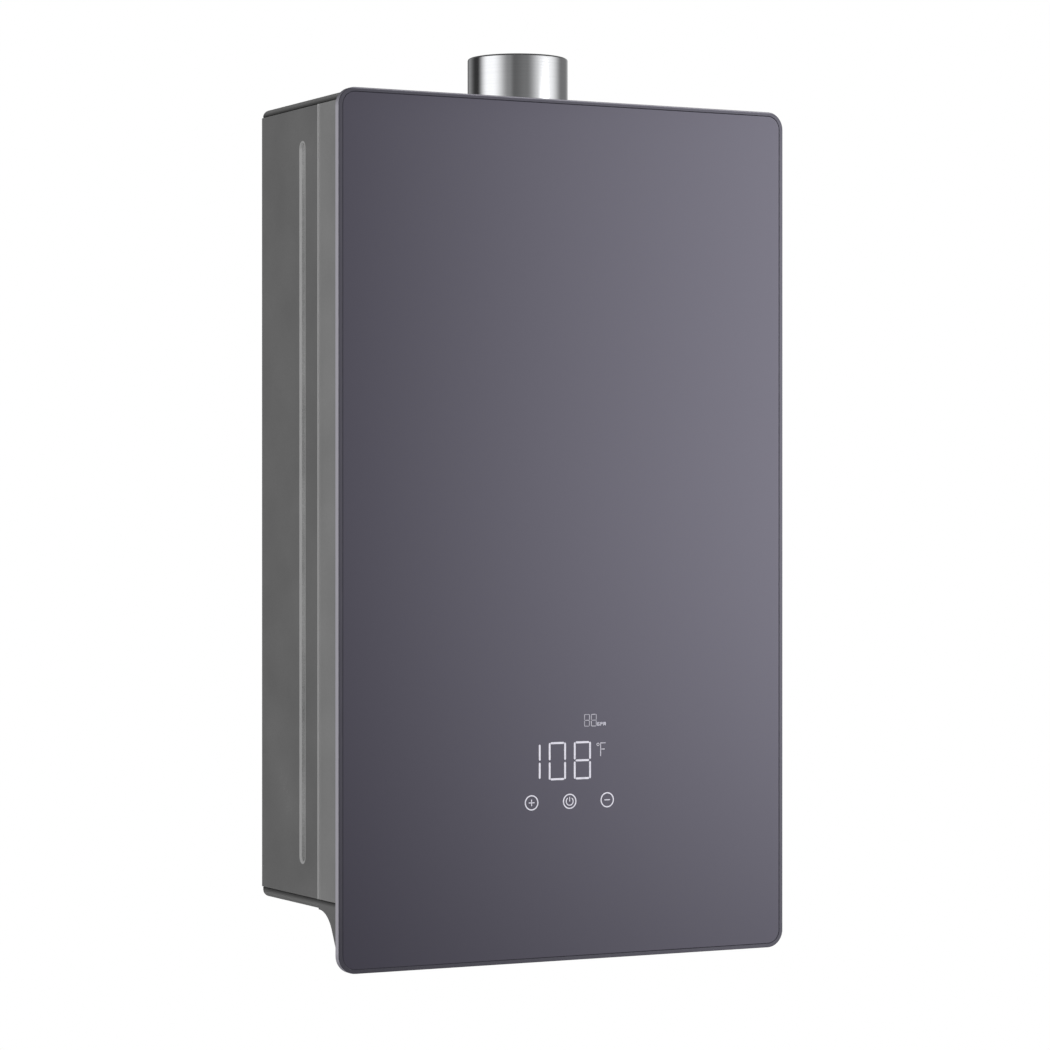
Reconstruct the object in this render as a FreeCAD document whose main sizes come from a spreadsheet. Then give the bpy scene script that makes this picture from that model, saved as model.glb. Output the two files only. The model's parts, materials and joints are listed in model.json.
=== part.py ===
import FreeCAD, Part
import math
import os

import Sketcher
from FreeCAD import Placement, Rotation, Vector

# Wall-hung gas water heater with a glass front, a top flue and bottom connections.
# Millimetres. X runs to the right seen from the front, Y runs into the wall and Z runs up.
# The origin lies on the wall plane, in the middle of the four wall fixings.

os.makedirs("parts", exist_ok=True)
doc = FreeCAD.newDocument("wall_water_heater")

SIZES = {
    # casing
    "body_width": 368,
    "body_height": 591,
    "casing_depth": 107,
    "cover_depth": 33,
    "sheet": 1,
    "body_corner": 2.5,
    "cap_round": 5.2,
    "top_band": 5.5,
    "bottom_band": 7.2,
    "seam_gap": 0.4,
    "joggle_depth": 9,
    "hem_width": 2.4,
    "hem_proud": 0.5,
    "bead_width": 9,
    "bead_depth": 1.8,
    "bead_taper": 40,
    "bead_setback": 30,
    "bead_top_inset": 25.6,
    "bead_bottom_inset": 24.4,
    "skirt_radius": 25,
    "skirt_angle": 58,
    "skirt_tail": 33.5,
    # wall fixings
    "fixing_spacing_wide": 300,
    "fixing_spacing_high": 540,
    "fixing_hole_radius": 3.25,
    # glass front
    "panel_width": 372,
    "panel_height": 637,
    "panel_rise": 3,
    "panel_corner": 13,
    "trim_depth": 6,
    "trim_lip": 3.1,
    "trim_flange": 14,
    "trim_back": 1,
    "glass_gap": 0.35,
    "glass_thickness": 4,
    "tape_width": 9,
    "tape_inset": 1,
    # display behind the glass
    "display_drop": 190,
    "display_width": 76,
    "display_height": 84,
    "board_thickness": 1.6,
    "display_setback": 12,
    "module_width": 62,
    "module_height": 54,
    "touch_pad_radius": 5,
    "touch_pad_pitch": 31.7,
    "touch_pad_drop": 31,
    "holder_wall": 2,
    # flue
    "flue_radius": 38.1,
    "flue_wall": 0.8,
    "flue_swage": 0.6,
    "flue_rise": 42.1,
    "flue_setback": 65,
    "flue_flange_radius": 50,
    "flue_flange": 1.2,
    "gasket_thickness": 1.5,
    "flue_hole_gap": 1.4,
    "flap_drop": 47.4,
    "flap_thickness": 0.8,
    "flap_gap": 1,
    "flap_offset": 8,
    "flap_pin_radius": 1.5,
    "flap_stop": 4,
    "saddle_width": 5,
    "rest_gap": 0.3,
    "running_gap": 0.05,
    # fan
    "fan_shift": 40,
    "fan_height": 185,
    "fan_radius": 44,
    "fan_width": 40,
    "fan_blade_depth": 8,
    "fan_blades": 24,
    "fan_plate": 1.2,
    "scroll_depth": 57,
    "scroll_wall": 1.5,
    "scroll_right_radius": 66,
    "scroll_lower_radius": 58,
    "scroll_left_radius": 52,
    "scroll_floor": 124,
    "outlet_top": 256,
    "outlet_hole": 27,
    "outlet_width": 60,
    "fan_inlet_radius": 32,
    "fan_flange": 2,
    "fan_flange_half": 44,
    "shaft_radius": 3,
    "hub_radius": 9,
    "motor_radius": 26,
    "motor_length": 30,
    "motor_wall": 2,
    "bearing_radius": 8,
    "bearing_width": 5,
    "boss_length": 4,
    "impeller_gap": 4,
    # heat exchanger and hood
    "jacket_side_room": 54,
    "jacket_back": 20,
    "jacket_depth": 92,
    "jacket_top": 108,
    "jacket_bottom": -64,
    "jacket_wall": 1,
    "hood_height": 13,
    "hood_duct_width": 80,
    "hood_duct_top": 228,
    "tube_radius": 8,
    "tube_wall": 0.8,
    "tube_rows": 4,
    "tube_height": 86,
    "tube_inset": 14,
    "tube_end": 10,
    "bend_setback": 6,
    "bend_slack": 0.005,
    "fin_count": 40,
    "fin_height": 34,
    "fin_thickness": 0.4,
    "fin_side_gap": 1,
    "pipe_radius": 6.35,
    "pipe_wall": 0.8,
    "pipe_bend": 12.7,
    "pipe_lead": 25,
    "cold_pipe_crest": 41,
    "hot_pipe_crest": 46,
    "coil_standoff": 10,
    "coil_low": -22,
    "coil_climb": 10,
    "riser_standoff": 28,
    "riser_foot_rise": 6,
    "thermostat_radius": 9,
    "thermostat_depth": 7,
    "thermostat_drop": 48,
    # burner
    "burner_inset": 10,
    "burner_height": 86,
    "burner_wall": 1.2,
    "blade_count": 12,
    "blade_width": 9,
    "blade_inset": 10,
    "bracket_inset": 10,
    "bracket_width": 16,
    "bracket_rise": 30,
    "flame_room": 18,
    "flame_slit": 2,
    "manifold_inset": 12,
    "manifold_side": 14,
    "manifold_wall": 1.5,
    "jet_radius": 0.6,
    "nozzle_radius": 3,
    "electrode_radius": 1,
    "ceramic_radius": 4,
    "ceramic_length": 16,
    "ceramic_stand": 10,
    "electrode_length": 48,
    "electrode_stand": 14,
    "igniter_shift": 22,
    "igniter_spacing": 12,
    "probe_shift": 24,
    "electrode_height": -44,
    # gas and water connections
    "fitting_setback": 66,
    "fitting_inset": 74,
    "thread_radius": 10.48,
    "thread_length": 24,
    "neck_relief": 0.8,
    "hole_gap": 0.4,
    "fitting_reach": 36,
    "fitting_flange_radius": 19,
    "fitting_flange": 4,
    "fitting_body_radius": 12,
    "fitting_height": 40,
    "fitting_bore": 6.5,
    "inlet_bore": 8,
    "grommet_wall": 3.2,
    "grommet_lip": 1.5,
    "valve_width": 64,
    "valve_depth": 52,
    "valve_height": 62,
    "coil_radius": 13,
    "coil_height": 30,
    "coil_spacing": 32,
    "plunger_radius": 4,
    "plunger_length": 16,
    "plunger_well": 22,
    "coil_cap": 2,
    "spring_wall": 0.8,
    "sensor_radius": 15,
    "sensor_bore": 11,
    "sensor_height": 56,
    "sensor_throat": 8,
    "rotor_gap": 0.7,
    "rotor_height": 14,
    "rotor_vanes": 6,
    "axle_radius": 1.2,
    "rotor_hub_radius": 3,
    "filter_length": 22,
    "filter_wall": 0.6,
    "drain_boss_radius": 9,
    "drain_boss_length": 12,
    "drain_bore": 5,
    "drain_inset": 112,
    "drain_inner_height": 16,
    "wing_width": 4,
    "wing_inset": 0.5,
    "drain_knob_radius": 8.5,
    "drain_knob_length": 11,
    "seal_radius": 7,
    "seal_wire": 1.2,
    "gas_pipe_drop": 28,
    # electrics
    "plate_setback": 100,
    "plate_top": -158,
    "plate_side_gap": 3,
    "plate_foot": 12,
    "plate_hole_gap": 2,
    "control_width": 90,
    "control_height": 120,
    "control_depth": 24,
    "control_wall": 2,
    "control_rise": 6,
    "relay_size": 14,
    "relay_height": 10,
    "relay_pitch": 25,
    "capacitor_height": 11,
    "control_inset": 93,
    "module_box_width": 70,
    "module_box_height": 46,
    "module_box_depth": 26,
    "transformer_height": 40,
    "transformer_depth": 21,
    "switch_radius": 22,
    "switch_depth": 24,
    "switch_inset": 84,
    "switch_height": 190,
    "diaphragm_thickness": 0.8,
    "switch_wall": 2,
    "nipple_length": 8,
    "hose_tap_rise": 40,
    "hose_radius": 3,
    "hose_bore": 1.8,
    "hose_bend": 9,
    "gland_bore": 4,
    "gland_radius": 8,
    "gland_length": 14,
    "gland_inset": 132,
    "gland_shoulder": 2,
    "gland_drop": 6,
    # fasteners
    "screw_radius": 2,
    "screw_head_radius": 3.8,
    "screw_head": 1.6,
    "screw_length": 8,
    "screw_inset": 34,
    "screw_setback": 26,
}

sheet = doc.addObject("Spreadsheet::Sheet", "Sizes")
for row, (word, number) in enumerate(SIZES.items(), start=1):
    sheet.set(f"A{row}", word)
    sheet.set(f"B{row}", str(number))
    sheet.setAlias(f"B{row}", word)
doc.recompute()


class Size:
    """A size with the sheet's own words for it, so that it can be bound and also be read."""

    def __init__(self, words, number):
        self.words = words
        self.number = number

    def join(self, sign, other, number):
        return Size(f"({self.words} {sign} {as_size(other).words})", number)

    def __add__(self, other):
        return self.join("+", other, self.number + as_size(other).number)

    def __sub__(self, other):
        return self.join("-", other, self.number - as_size(other).number)

    def __mul__(self, other):
        return self.join("*", other, self.number * as_size(other).number)

    def __truediv__(self, other):
        return self.join("/", other, self.number / as_size(other).number)

    def __radd__(self, other):
        return as_size(other) + self

    def __rsub__(self, other):
        return as_size(other) - self

    def __rmul__(self, other):
        return as_size(other) * self

    def __neg__(self):
        return as_size(0) - self

    def __float__(self):
        return float(self.number)


def as_size(value):
    return value if isinstance(value, Size) else Size(f"({value})", value)


def cell(word):
    """The sheet's value under this word."""
    return Size(f"Sizes.{word}", float(sheet.get(word)))


def bind(item, name, value):
    item.setExpression(name, as_size(value).words)


# Directions that a turned or round piece can lie in, as turns of the upright one.
ALONG = {
    "+Z": Rotation(Vector(0, 0, 1), 0),
    "-Z": Rotation(Vector(1, 0, 0), 180),
    "+X": Rotation(Vector(0, 1, 0), 90),
    "-X": Rotation(Vector(0, 1, 0), -90),
    "+Y": Rotation(Vector(1, 0, 0), -90),
    "-Y": Rotation(Vector(1, 0, 0), 90),
}


def place(item, x, y, z, along="+Z"):
    item.Placement = Placement(Vector(0, 0, 0), ALONG[along])
    bind(item, "Placement.Base.x", x)
    bind(item, "Placement.Base.y", y)
    bind(item, "Placement.Base.z", z)
    return item


def box(name, x, y, z):
    """A block between the low and the high value given for each direction."""
    item = doc.addObject("Part::Box", name)
    bind(item, "Length", x[1] - x[0])
    bind(item, "Width", y[1] - y[0])
    bind(item, "Height", z[1] - z[0])
    return place(item, x[0], y[0], z[0])


def rod(name, along, start, length, radius):
    """A round bar that starts at a point and runs along a direction."""
    item = doc.addObject("Part::Cylinder", name)
    bind(item, "Radius", radius)
    bind(item, "Height", length)
    return place(item, *start, along)


def fuse(name, *pieces):
    item = doc.addObject("Part::MultiFuse", name)
    item.Shapes = list(pieces)
    item.Refine = True
    return item


def cut(name, base, *tools):
    item = doc.addObject("Part::Cut", name)
    item.Base = base
    item.Tool = tools[0] if len(tools) == 1 else fuse(name + "_tools", *tools)
    item.Refine = True
    return item


def common(name, first, second):
    item = doc.addObject("Part::Common", name)
    item.Base = first
    item.Tool = second
    item.Refine = True
    return item


def round_edges(name, base, radius, wanted):
    """A Part fillet on the straight edges that the test picks."""
    doc.recompute()
    item = doc.addObject("Part::Fillet", name)
    item.Base = base
    picked = [n for n, edge in enumerate(base.Shape.Edges, start=1) if wanted(edge)]
    item.Edges = [(n, float(radius), float(radius)) for n in picked]
    return item


def body(name):
    return doc.addObject("PartDesign::Body", name)


def arc_between(start, end, radius):
    """The short arc between two points, with its centre on the left where the radius is positive."""
    middle = (start + end) / 2
    half = (end - start) / 2
    reach = math.sqrt(max(radius * radius - half.Length ** 2, 0))
    left = Vector(-half.y, half.x, 0).normalize()
    centre = middle + left * (reach if radius > 0 else -reach)
    first, last = (start, end) if radius > 0 else (end, start)
    from_angle = math.atan2(first.y - centre.y, first.x - centre.x)
    to_angle = math.atan2(last.y - centre.y, last.x - centre.x)
    if to_angle < from_angle:
        to_angle += 2 * math.pi
    return Part.ArcOfCircle(Part.Circle(centre, Vector(0, 0, 1), abs(radius)), from_angle, to_angle)


def draw_loop(sketch, corners):
    """A closed outline. A corner is (x, y), or (x, y, radius) where an arc leads to the next one."""
    points = [Vector(float(c[0]), float(c[1]), 0) for c in corners]
    first = sketch.GeometryCount
    count = len(corners)
    for n, corner in enumerate(corners):
        start, end = points[n], points[(n + 1) % count]
        bent = len(corner) > 2
        edge = arc_between(start, end, float(corner[2])) if bent else Part.LineSegment(start, end)
        sketch.addGeometry(edge, False)
    for n, corner in enumerate(corners):
        before = (n - 1) % count
        opens = 2 if len(corner) > 2 and float(corner[2]) < 0 else 1
        closes = 1 if len(corners[before]) > 2 and float(corners[before][2]) < 0 else 2
        sketch.addConstraint(Sketcher.Constraint(
            "Coincident", first + before, closes, first + n, opens))
        places = (("DistanceX", corner[0], points[n].x), ("DistanceY", corner[1], points[n].y))
        for kind, value, reach in places:
            index = sketch.addConstraint(Sketcher.Constraint(kind, -1, 1, first + n, opens, reach))
            sketch.setExpression(f"Constraints[{index}]", as_size(value).words)
        if len(corner) > 2:
            radius = as_size(corner[2]) if float(corner[2]) > 0 else -as_size(corner[2])
            index = sketch.addConstraint(Sketcher.Constraint("Radius", first + n, radius.number))
            sketch.setExpression(f"Constraints[{index}]", radius.words)


def draw_circle(sketch, x, y, radius):
    centre = Vector(float(x), float(y), 0)
    number = sketch.addGeometry(Part.Circle(centre, Vector(0, 0, 1), float(radius)), False)
    for kind, value, reach in (("DistanceX", x, centre.x), ("DistanceY", y, centre.y)):
        index = sketch.addConstraint(Sketcher.Constraint(kind, -1, 1, number, 3, reach))
        sketch.setExpression(f"Constraints[{index}]", as_size(value).words)
    index = sketch.addConstraint(Sketcher.Constraint("Radius", number, float(radius)))
    sketch.setExpression(f"Constraints[{index}]", as_size(radius).words)


def sketch_on(owner, name, plane, level, loops):
    """A sketch on one of the body's planes, moved to a level along the axis square to it."""
    sketch = owner.newObject("Sketcher::SketchObject", name)
    support = next(p for p in owner.Origin.OriginFeatures if p.Role == plane + "_Plane")
    sketch.AttachmentSupport = [(support, "")]
    sketch.MapMode = "FlatFace"
    bind(sketch, "AttachmentOffset.Base.z", -as_size(level) if plane == "XZ" else level)
    for loop in loops:
        if loop[0] == "circle":
            draw_circle(sketch, *loop[1:])
        else:
            draw_loop(sketch, loop)
    return sketch


def pad(owner, name, plane, low, high, *loops):
    """Material between two levels. On the XZ plane a pad grows towards the front."""
    start = high if plane == "XZ" else low
    feature = owner.newObject("PartDesign::Pad", name)
    feature.Profile = sketch_on(owner, name + "_sketch", plane, start, loops)
    bind(feature, "Length", as_size(high) - low)
    return feature


def pocket(owner, name, plane, low, high, *loops):
    """A cut between two levels, from the far side of the plane's pad back to its near side."""
    doc.recompute()
    before = owner.Shape.Volume
    start = low if plane == "XZ" else high
    feature = owner.newObject("PartDesign::Pocket", name)
    feature.Profile = sketch_on(owner, name + "_sketch", plane, start, loops)
    bind(feature, "Length", as_size(high) - low)
    doc.recompute()
    if owner.Shape.Volume >= before:
        raise RuntimeError(f"{name} cuts nothing")
    return feature


def turned(name, profile, x, y, z, along="+Z"):
    """A piece turned on a lathe: its profile is radius and height along the axis."""
    item = body(name)
    sketch = sketch_on(item, name + "_profile", "XZ", 0, [profile])
    feature = item.newObject("PartDesign::Revolution", name + "_turn")
    feature.Profile = sketch
    feature.ReferenceAxis = (sketch, ["V_Axis"])
    feature.Angle = 360
    return place(item, x, y, z, along)


def ring(name, outer, inner, length, x, y, z, along="+Z"):
    """A plain turned ring or sleeve."""
    corners = [(inner, 0), (outer, 0), (outer, length), (inner, length)]
    return turned(name, corners, x, y, z, along)


def rectangle(low_x, high_x, low_y, high_y):
    return [(low_x, low_y), (high_x, low_y), (high_x, high_y), (low_x, high_y)]


def soft_rectangle(low_x, high_x, low_y, high_y, radius):
    """A rectangle with round corners."""
    low_x, high_x, low_y, high_y = (as_size(v) for v in (low_x, high_x, low_y, high_y))
    return [
        (low_x + radius, low_y), (high_x - radius, low_y, radius),
        (high_x, low_y + radius), (high_x, high_y - radius, radius),
        (high_x - radius, high_y), (low_x + radius, high_y, radius),
        (low_x, high_y - radius), (low_x, low_y + radius, radius),
    ]


def stadium(x, low_y, high_y, radius):
    """An upright slot: two straight sides and round ends, each end in two quarter arcs."""
    return [
        (x + radius, low_y + radius), (x + radius, high_y - radius, radius),
        (x, high_y, radius), (x - radius, high_y - radius),
        (x - radius, low_y + radius, radius), (x, low_y, radius),
    ]


def shape_node(name, shape):
    """A piece whose shape is worked out here from the sheet's sizes."""
    item = doc.addObject("Part::Feature", name)
    item.Shape = shape
    item.Placement = Placement()
    return item


def bent_wire(points, radius):
    """Straight runs joined by tangent arcs."""
    spots = [Vector(*(float(v) for v in p)) for p in points]
    edges = []
    last = spots[0]
    for n in range(1, len(spots) - 1):
        back = (spots[n - 1] - spots[n]).normalize()
        ahead = (spots[n + 1] - spots[n]).normalize()
        half = back.getAngle(ahead) / 2
        trim = radius / math.tan(half)
        start = spots[n] + back * trim
        end = spots[n] + ahead * trim
        inward = (back + ahead).normalize()
        middle = spots[n] + inward * (radius / math.sin(half) - radius)
        if (start - last).Length > 0.001:
            edges.append(Part.LineSegment(last, start).toShape())
        edges.append(Part.Arc(start, middle, end).toShape())
        last = end
    edges.append(Part.LineSegment(last, spots[-1]).toShape())
    return Part.Wire(edges)


def bent_pipe(name, points, outer, inner, bend):
    """A bent round pipe with its bore, checked against its section times its length."""
    wire = bent_wire(points, float(bend))
    start = wire.Vertexes[0].Point
    heading = wire.Edges[0].tangentAt(wire.Edges[0].FirstParameter)
    solids = []
    for radius in (float(outer), float(inner)):
        circle = Part.Wire([Part.makeCircle(radius, start, heading)])
        solid = wire.makePipeShell([circle], True, False)
        wanted = math.pi * radius * radius * wire.Length
        if abs(solid.Volume - wanted) > 0.01 * wanted:
            raise RuntimeError(f"{name} has the wrong volume")
        solids.append(solid)
    return shape_node(name, solids[0].cut(solids[1]))


def gather(name, shapes):
    """Alike pieces kept together as separate solids in one node."""
    return shape_node(name, Part.makeCompound(shapes))


def lift(shape, x, y, z):
    copy = shape.copy()
    copy.translate(Vector(float(x), float(y), float(z)))
    return copy


def solid_rod(along, start, length, radius):
    direction = ALONG[along].multVec(Vector(0, 0, 1))
    return Part.makeCylinder(float(radius), float(length), Vector(*(float(v) for v in start)), direction)


def solid_box(x, y, z):
    low = Vector(float(x[0]), float(y[0]), float(z[0]))
    return Part.makeBox(float(x[1]) - low.x, float(y[1]) - low.y, float(z[1]) - low.z, low)


# Planes of the casing
side = cell("body_width") / 2
body_top = cell("body_height") / 2
body_bottom = -body_top
seam_front = -cell("casing_depth")
cover_front = seam_front - cell("cover_depth")
glass_front = cover_front - cell("trim_depth")
sheet_metal = cell("sheet")
inner_side = side - sheet_metal
inner_back = -sheet_metal
inner_front = cover_front + sheet_metal
inner_top = body_top - sheet_metal
inner_bottom = body_bottom + sheet_metal
upper_seam = body_top - cell("top_band")
lower_seam = body_bottom + cell("bottom_band")
seam = cell("seam_gap")

panel_top = body_top + cell("panel_rise")
panel_bottom = panel_top - cell("panel_height")
panel_side = cell("panel_width") / 2

flue_x = as_size(0)
flue_y = -cell("flue_setback")
flue_r = cell("flue_radius")


def pan(name, grow):
    """The casing's outer form, or its inner one: a block with round rear edges."""
    corner = cell("body_corner") - grow
    block = box(name + "_block", (-side + grow, side - grow), (cover_front - sheet_metal, -as_size(grow)),
                (body_bottom + grow, body_top - grow))
    back = -float(as_size(grow))

    def at_back(edge):
        return abs(edge.BoundBox.YMin - back) < 0.001 and abs(edge.BoundBox.YMax - back) < 0.001

    return round_edges(name, block, corner, at_back)


def casing_shell(name):
    return cut(name, pan(name + "_outside", as_size(0)), pan(name + "_inside", sheet_metal))


# Rear casing: back and sides with a stiffening bead on each side and a hemmed front edge.
bead_y = seam_front + cell("bead_setback")
bead_low = lower_seam + cell("bead_bottom_inset")
bead_high = upper_seam - cell("bead_top_inset")
bead_r = cell("bead_width") / 2


def bead(name, sign, sink, grow):
    """One side's bead as a tapered block that sinks in from the side's outer face."""
    item = body(name)
    loop = stadium(bead_y, bead_low - grow, bead_high + grow, bead_r + grow)
    feature = item.newObject("PartDesign::Pad", name + "_pad")
    feature.Profile = sketch_on(item, name + "_sketch", "YZ", side * sign, [loop])
    bind(feature, "Length", sink)
    feature.Reversed = sign > 0
    bind(feature, "TaperAngle", -cell("bead_taper"))
    return item


casing_room = (lower_seam + seam / 2, upper_seam - seam / 2)
rear_walls = common("rear_walls", casing_shell("rear_shell"),
                    box("rear_room", (-side, side), (seam_front, as_size(0)), casing_room))
hem_front = seam_front
hem_rear = seam_front + cell("hem_width")
hem_strips = []
bead_lands = []
bead_hollows = []
for word, sign in (("left", -1), ("right", 1)):
    outer, inner = side + cell("hem_proud"), side - sheet_metal * 2
    spread = (outer * sign, inner * sign) if sign < 0 else (inner * sign, outer * sign)
    hem_strips.append(box(f"{word}_hem", spread, (hem_front, hem_rear), casing_room))
    bead_lands.append(bead(f"{word}_bead_land", sign, cell("bead_depth") + sheet_metal, sheet_metal))
    bead_hollows.append(bead(f"{word}_bead_hollow", sign, cell("bead_depth"), as_size(0)))
fixing_holes = [
    rod(f"fixing_hole_{n}", "+Y", (cell("fixing_spacing_wide") / 2 * sx, -sheet_metal * 2,
                                   cell("fixing_spacing_high") / 2 * sz),
        sheet_metal * 3, cell("fixing_hole_radius"))
    for n, (sx, sz) in enumerate(((-1, -1), (1, -1), (1, 1), (-1, 1)), start=1)
]
cut("rear_casing", fuse("rear_pressing", rear_walls, *hem_strips, *bead_lands), *bead_hollows, *fixing_holes)

# Front cover: two sides and the wall behind the glass, with a window for the display.
display_mid = -cell("display_drop")
display_half = cell("display_width") / 2
display_low = display_mid - cell("display_height") / 2
display_high = display_mid + cell("display_height") / 2
holder_wall = cell("holder_wall")
cover_sides = common("cover_sides", casing_shell("cover_shell"),
                     box("cover_room", (-side, side), (cover_front, seam_front - seam), casing_room))
cover_wall = box("cover_wall", (-side, side), (cover_front, inner_front), casing_room)
cover_window = box("cover_window", (-display_half - holder_wall, display_half + holder_wall),
                   (cover_front - sheet_metal, inner_front + sheet_metal),
                   (display_low - holder_wall, display_high + holder_wall))
cut("front_cover", fuse("cover_pressing", cover_sides, cover_wall), cover_window)

# The two caps are drawn from sheet, round along their sides, their back and their rear corners.
cap_round = cell("cap_round")


def cap_form(name, grow):
    """The outer or inner form that both caps share: a closed block with all but its front edges round."""
    front = cover_front + grow
    block = box(name + "_block", (-side + grow, side - grow), (front, -as_size(grow)),
                (body_bottom + grow, body_top - grow))

    def behind_front(edge):
        return edge.BoundBox.YMax > float(front) + 0.001

    return round_edges(name, block, cap_round - grow, behind_front)


# Top cap: the lid above the upper seam, with the flue's hole, and a joggled lip inside the sides.
lip_high = upper_seam - cell("joggle_depth")
lip_root = cap_round / 2
flue_hole_r = flue_r + cell("flue_hole_gap")


def lip(name, low, high):
    """A joggled lip that stands just inside the casing's side walls, behind the hems."""
    slack = seam / 4
    outer = box(name + "_outside", (-inner_side + slack, inner_side - slack),
                (hem_rear + seam, -cap_round), (low, high))
    inner = box(name + "_inside", (-inner_side + slack + sheet_metal, inner_side - slack - sheet_metal),
                (seam_front, inner_back), (low, high))
    return cut(name, outer, inner)


top_shell = cut("top_shell", cap_form("top_outside", as_size(0)), cap_form("top_inside", sheet_metal))
top_room = box("top_room", (-side, side), (cover_front, as_size(0)), (upper_seam + seam / 2, body_top))
top_pressing = fuse("top_pressing", common("top_lid", top_shell, top_room),
                    lip("top_lip", lip_high, body_top - lip_root))
flue_hole = rod("flue_hole", "+Z", (flue_x, flue_y, inner_top - sheet_metal), sheet_metal * 3, flue_hole_r)


def screw_spots(front_y):
    """Where a cap is screwed down: near its rear corners and near its front ones."""
    across = side - cell("screw_inset")
    return [(across * sx, y) for sx in (-1, 1) for y in (-cell("screw_setback"), front_y)]


screw_r = cell("screw_radius")
screw_hole_r = screw_r + seam / 2
top_screw_holes = [
    rod(f"top_screw_hole_{n}", "+Z", (x, y, inner_top - sheet_metal), sheet_metal * 3, screw_hole_r)
    for n, (x, y) in enumerate(screw_spots(seam_front - cell("cover_depth") / 2), start=1)
]
cut("top_cap", top_pressing, flue_hole, *top_screw_holes)


def turn_of(word):
    """The sine and cosine of an angle in the sheet."""
    angle = cell(word)
    radians = math.radians(angle.number)
    return (Size(f"sin({angle.words} * 1 deg)", math.sin(radians)),
            Size(f"cos({angle.words} * 1 deg)", math.cos(radians)))


# Bottom cap: the floor, with a skirt that curves down behind the glass, and the pipe holes.
skirt_sine, skirt_cosine = turn_of("skirt_angle")
skirt_r = cell("skirt_radius")
skirt_foot = body_bottom - cell("skirt_tail")
arc_end = (seam_front - skirt_r * skirt_sine, body_bottom - skirt_r * (1 - skirt_cosine))
slope = (arc_end[1] - skirt_foot) / (arc_end[0] - cover_front)
hollow_r = skirt_r + sheet_metal
hollow_end = (seam_front - hollow_r * skirt_sine, body_bottom - skirt_r + hollow_r * skirt_cosine)
hollow_foot = hollow_end[1] - (hollow_end[0] - inner_front) * slope
hollow_top = lower_seam + seam
floor_high = lower_seam - seam / 2
skirt_rear = seam_front + sheet_metal

skirt_block = body("skirt_block")
pad(skirt_block, "skirt_block_pad", "YZ", -side, side, [
    (skirt_rear, body_bottom), (seam_front, body_bottom, skirt_r), arc_end, (cover_front, skirt_foot),
    (cover_front, floor_high), (skirt_rear, floor_high)])
skirt_hollow = body("skirt_hollow")
pad(skirt_hollow, "skirt_hollow_pad", "YZ", -inner_side, inner_side, [
    (seam_front, inner_bottom, hollow_r), hollow_end, (inner_front, hollow_foot),
    (inner_front, hollow_top), (seam_front, hollow_top)])
bottom_room = box("bottom_room", (-side, side), (cover_front, as_size(0)), (body_bottom, floor_high))
bottom_block = common("bottom_block", cap_form("bottom_outside", as_size(0)), bottom_room)
bottom_pressing = fuse("bottom_pressing", bottom_block, skirt_block)

fitting_y = -cell("fitting_setback")
cold_x = side - cell("fitting_inset")
hot_x = -cold_x
gas_x = as_size(0)
neck_r = cell("thread_radius") - cell("neck_relief")
pipe_hole_r = neck_r + cell("grommet_wall")
gland_x = cell("gland_inset") - side
gland_neck_r = cell("gland_radius") - cell("gland_shoulder")
drain_x = side - cell("drain_inset")
drain_r = cell("drain_boss_radius")
hole_gap = cell("hole_gap")
floor_holes = []
for word, x, radius in (
    ("hot", hot_x, pipe_hole_r), ("gas", gas_x, pipe_hole_r), ("cold", cold_x, pipe_hole_r),
    ("gland", gland_x, gland_neck_r + hole_gap), ("drain", drain_x, drain_r + hole_gap),
):
    floor_holes.append(rod(f"{word}_hole", "+Z", (x, fitting_y, body_bottom - sheet_metal),
                           sheet_metal * 3, radius))
rear_of_skirt = seam_front + cell("screw_setback")
for n, (x, y) in enumerate(screw_spots(rear_of_skirt), start=1):
    floor_holes.append(rod(f"floor_screw_hole_{n}", "+Z", (x, y, body_bottom - sheet_metal),
                           sheet_metal * 3, screw_hole_r))
hollowed = cut("bottom_hollowed", bottom_pressing, cap_form("bottom_inside", sheet_metal), skirt_hollow)
lipped = fuse("bottom_lipped", hollowed,
              lip("bottom_lip", body_bottom + lip_root, lower_seam + cell("joggle_depth")))
cut("bottom_cap", lipped, *floor_holes)


def screw(x, y, z, upward):
    """A pan-head screw that goes through a cap into the folded lip behind it."""
    head, shank = ("+Z", "-Z") if upward else ("-Z", "+Z")
    return solid_rod(head, (x, y, z), cell("screw_head"), cell("screw_head_radius")).fuse(
        solid_rod(shank, (x, y, z), cell("screw_length"), screw_r))


gather("cap_screws",
       [screw(x, y, body_top, True) for x, y in screw_spots(seam_front - cell("cover_depth") / 2)]
       + [screw(x, y, body_bottom, False) for x, y in screw_spots(rear_of_skirt)])

# Glass front: the trim frame round it, its bonding tape and the glass itself.
lip_w = cell("trim_lip")


def panel_loop(inset):
    """The panel's outline, drawn in by an inset, with the same corner centres."""
    return soft_rectangle(-panel_side + inset, panel_side - inset, panel_bottom + inset, panel_top - inset,
                          cell("panel_corner") - inset)


def window_loop(inset):
    """The opening behind the glass, with plain corners."""
    return rectangle(-panel_side + inset, panel_side - inset, panel_bottom + inset, panel_top - inset)


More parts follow.
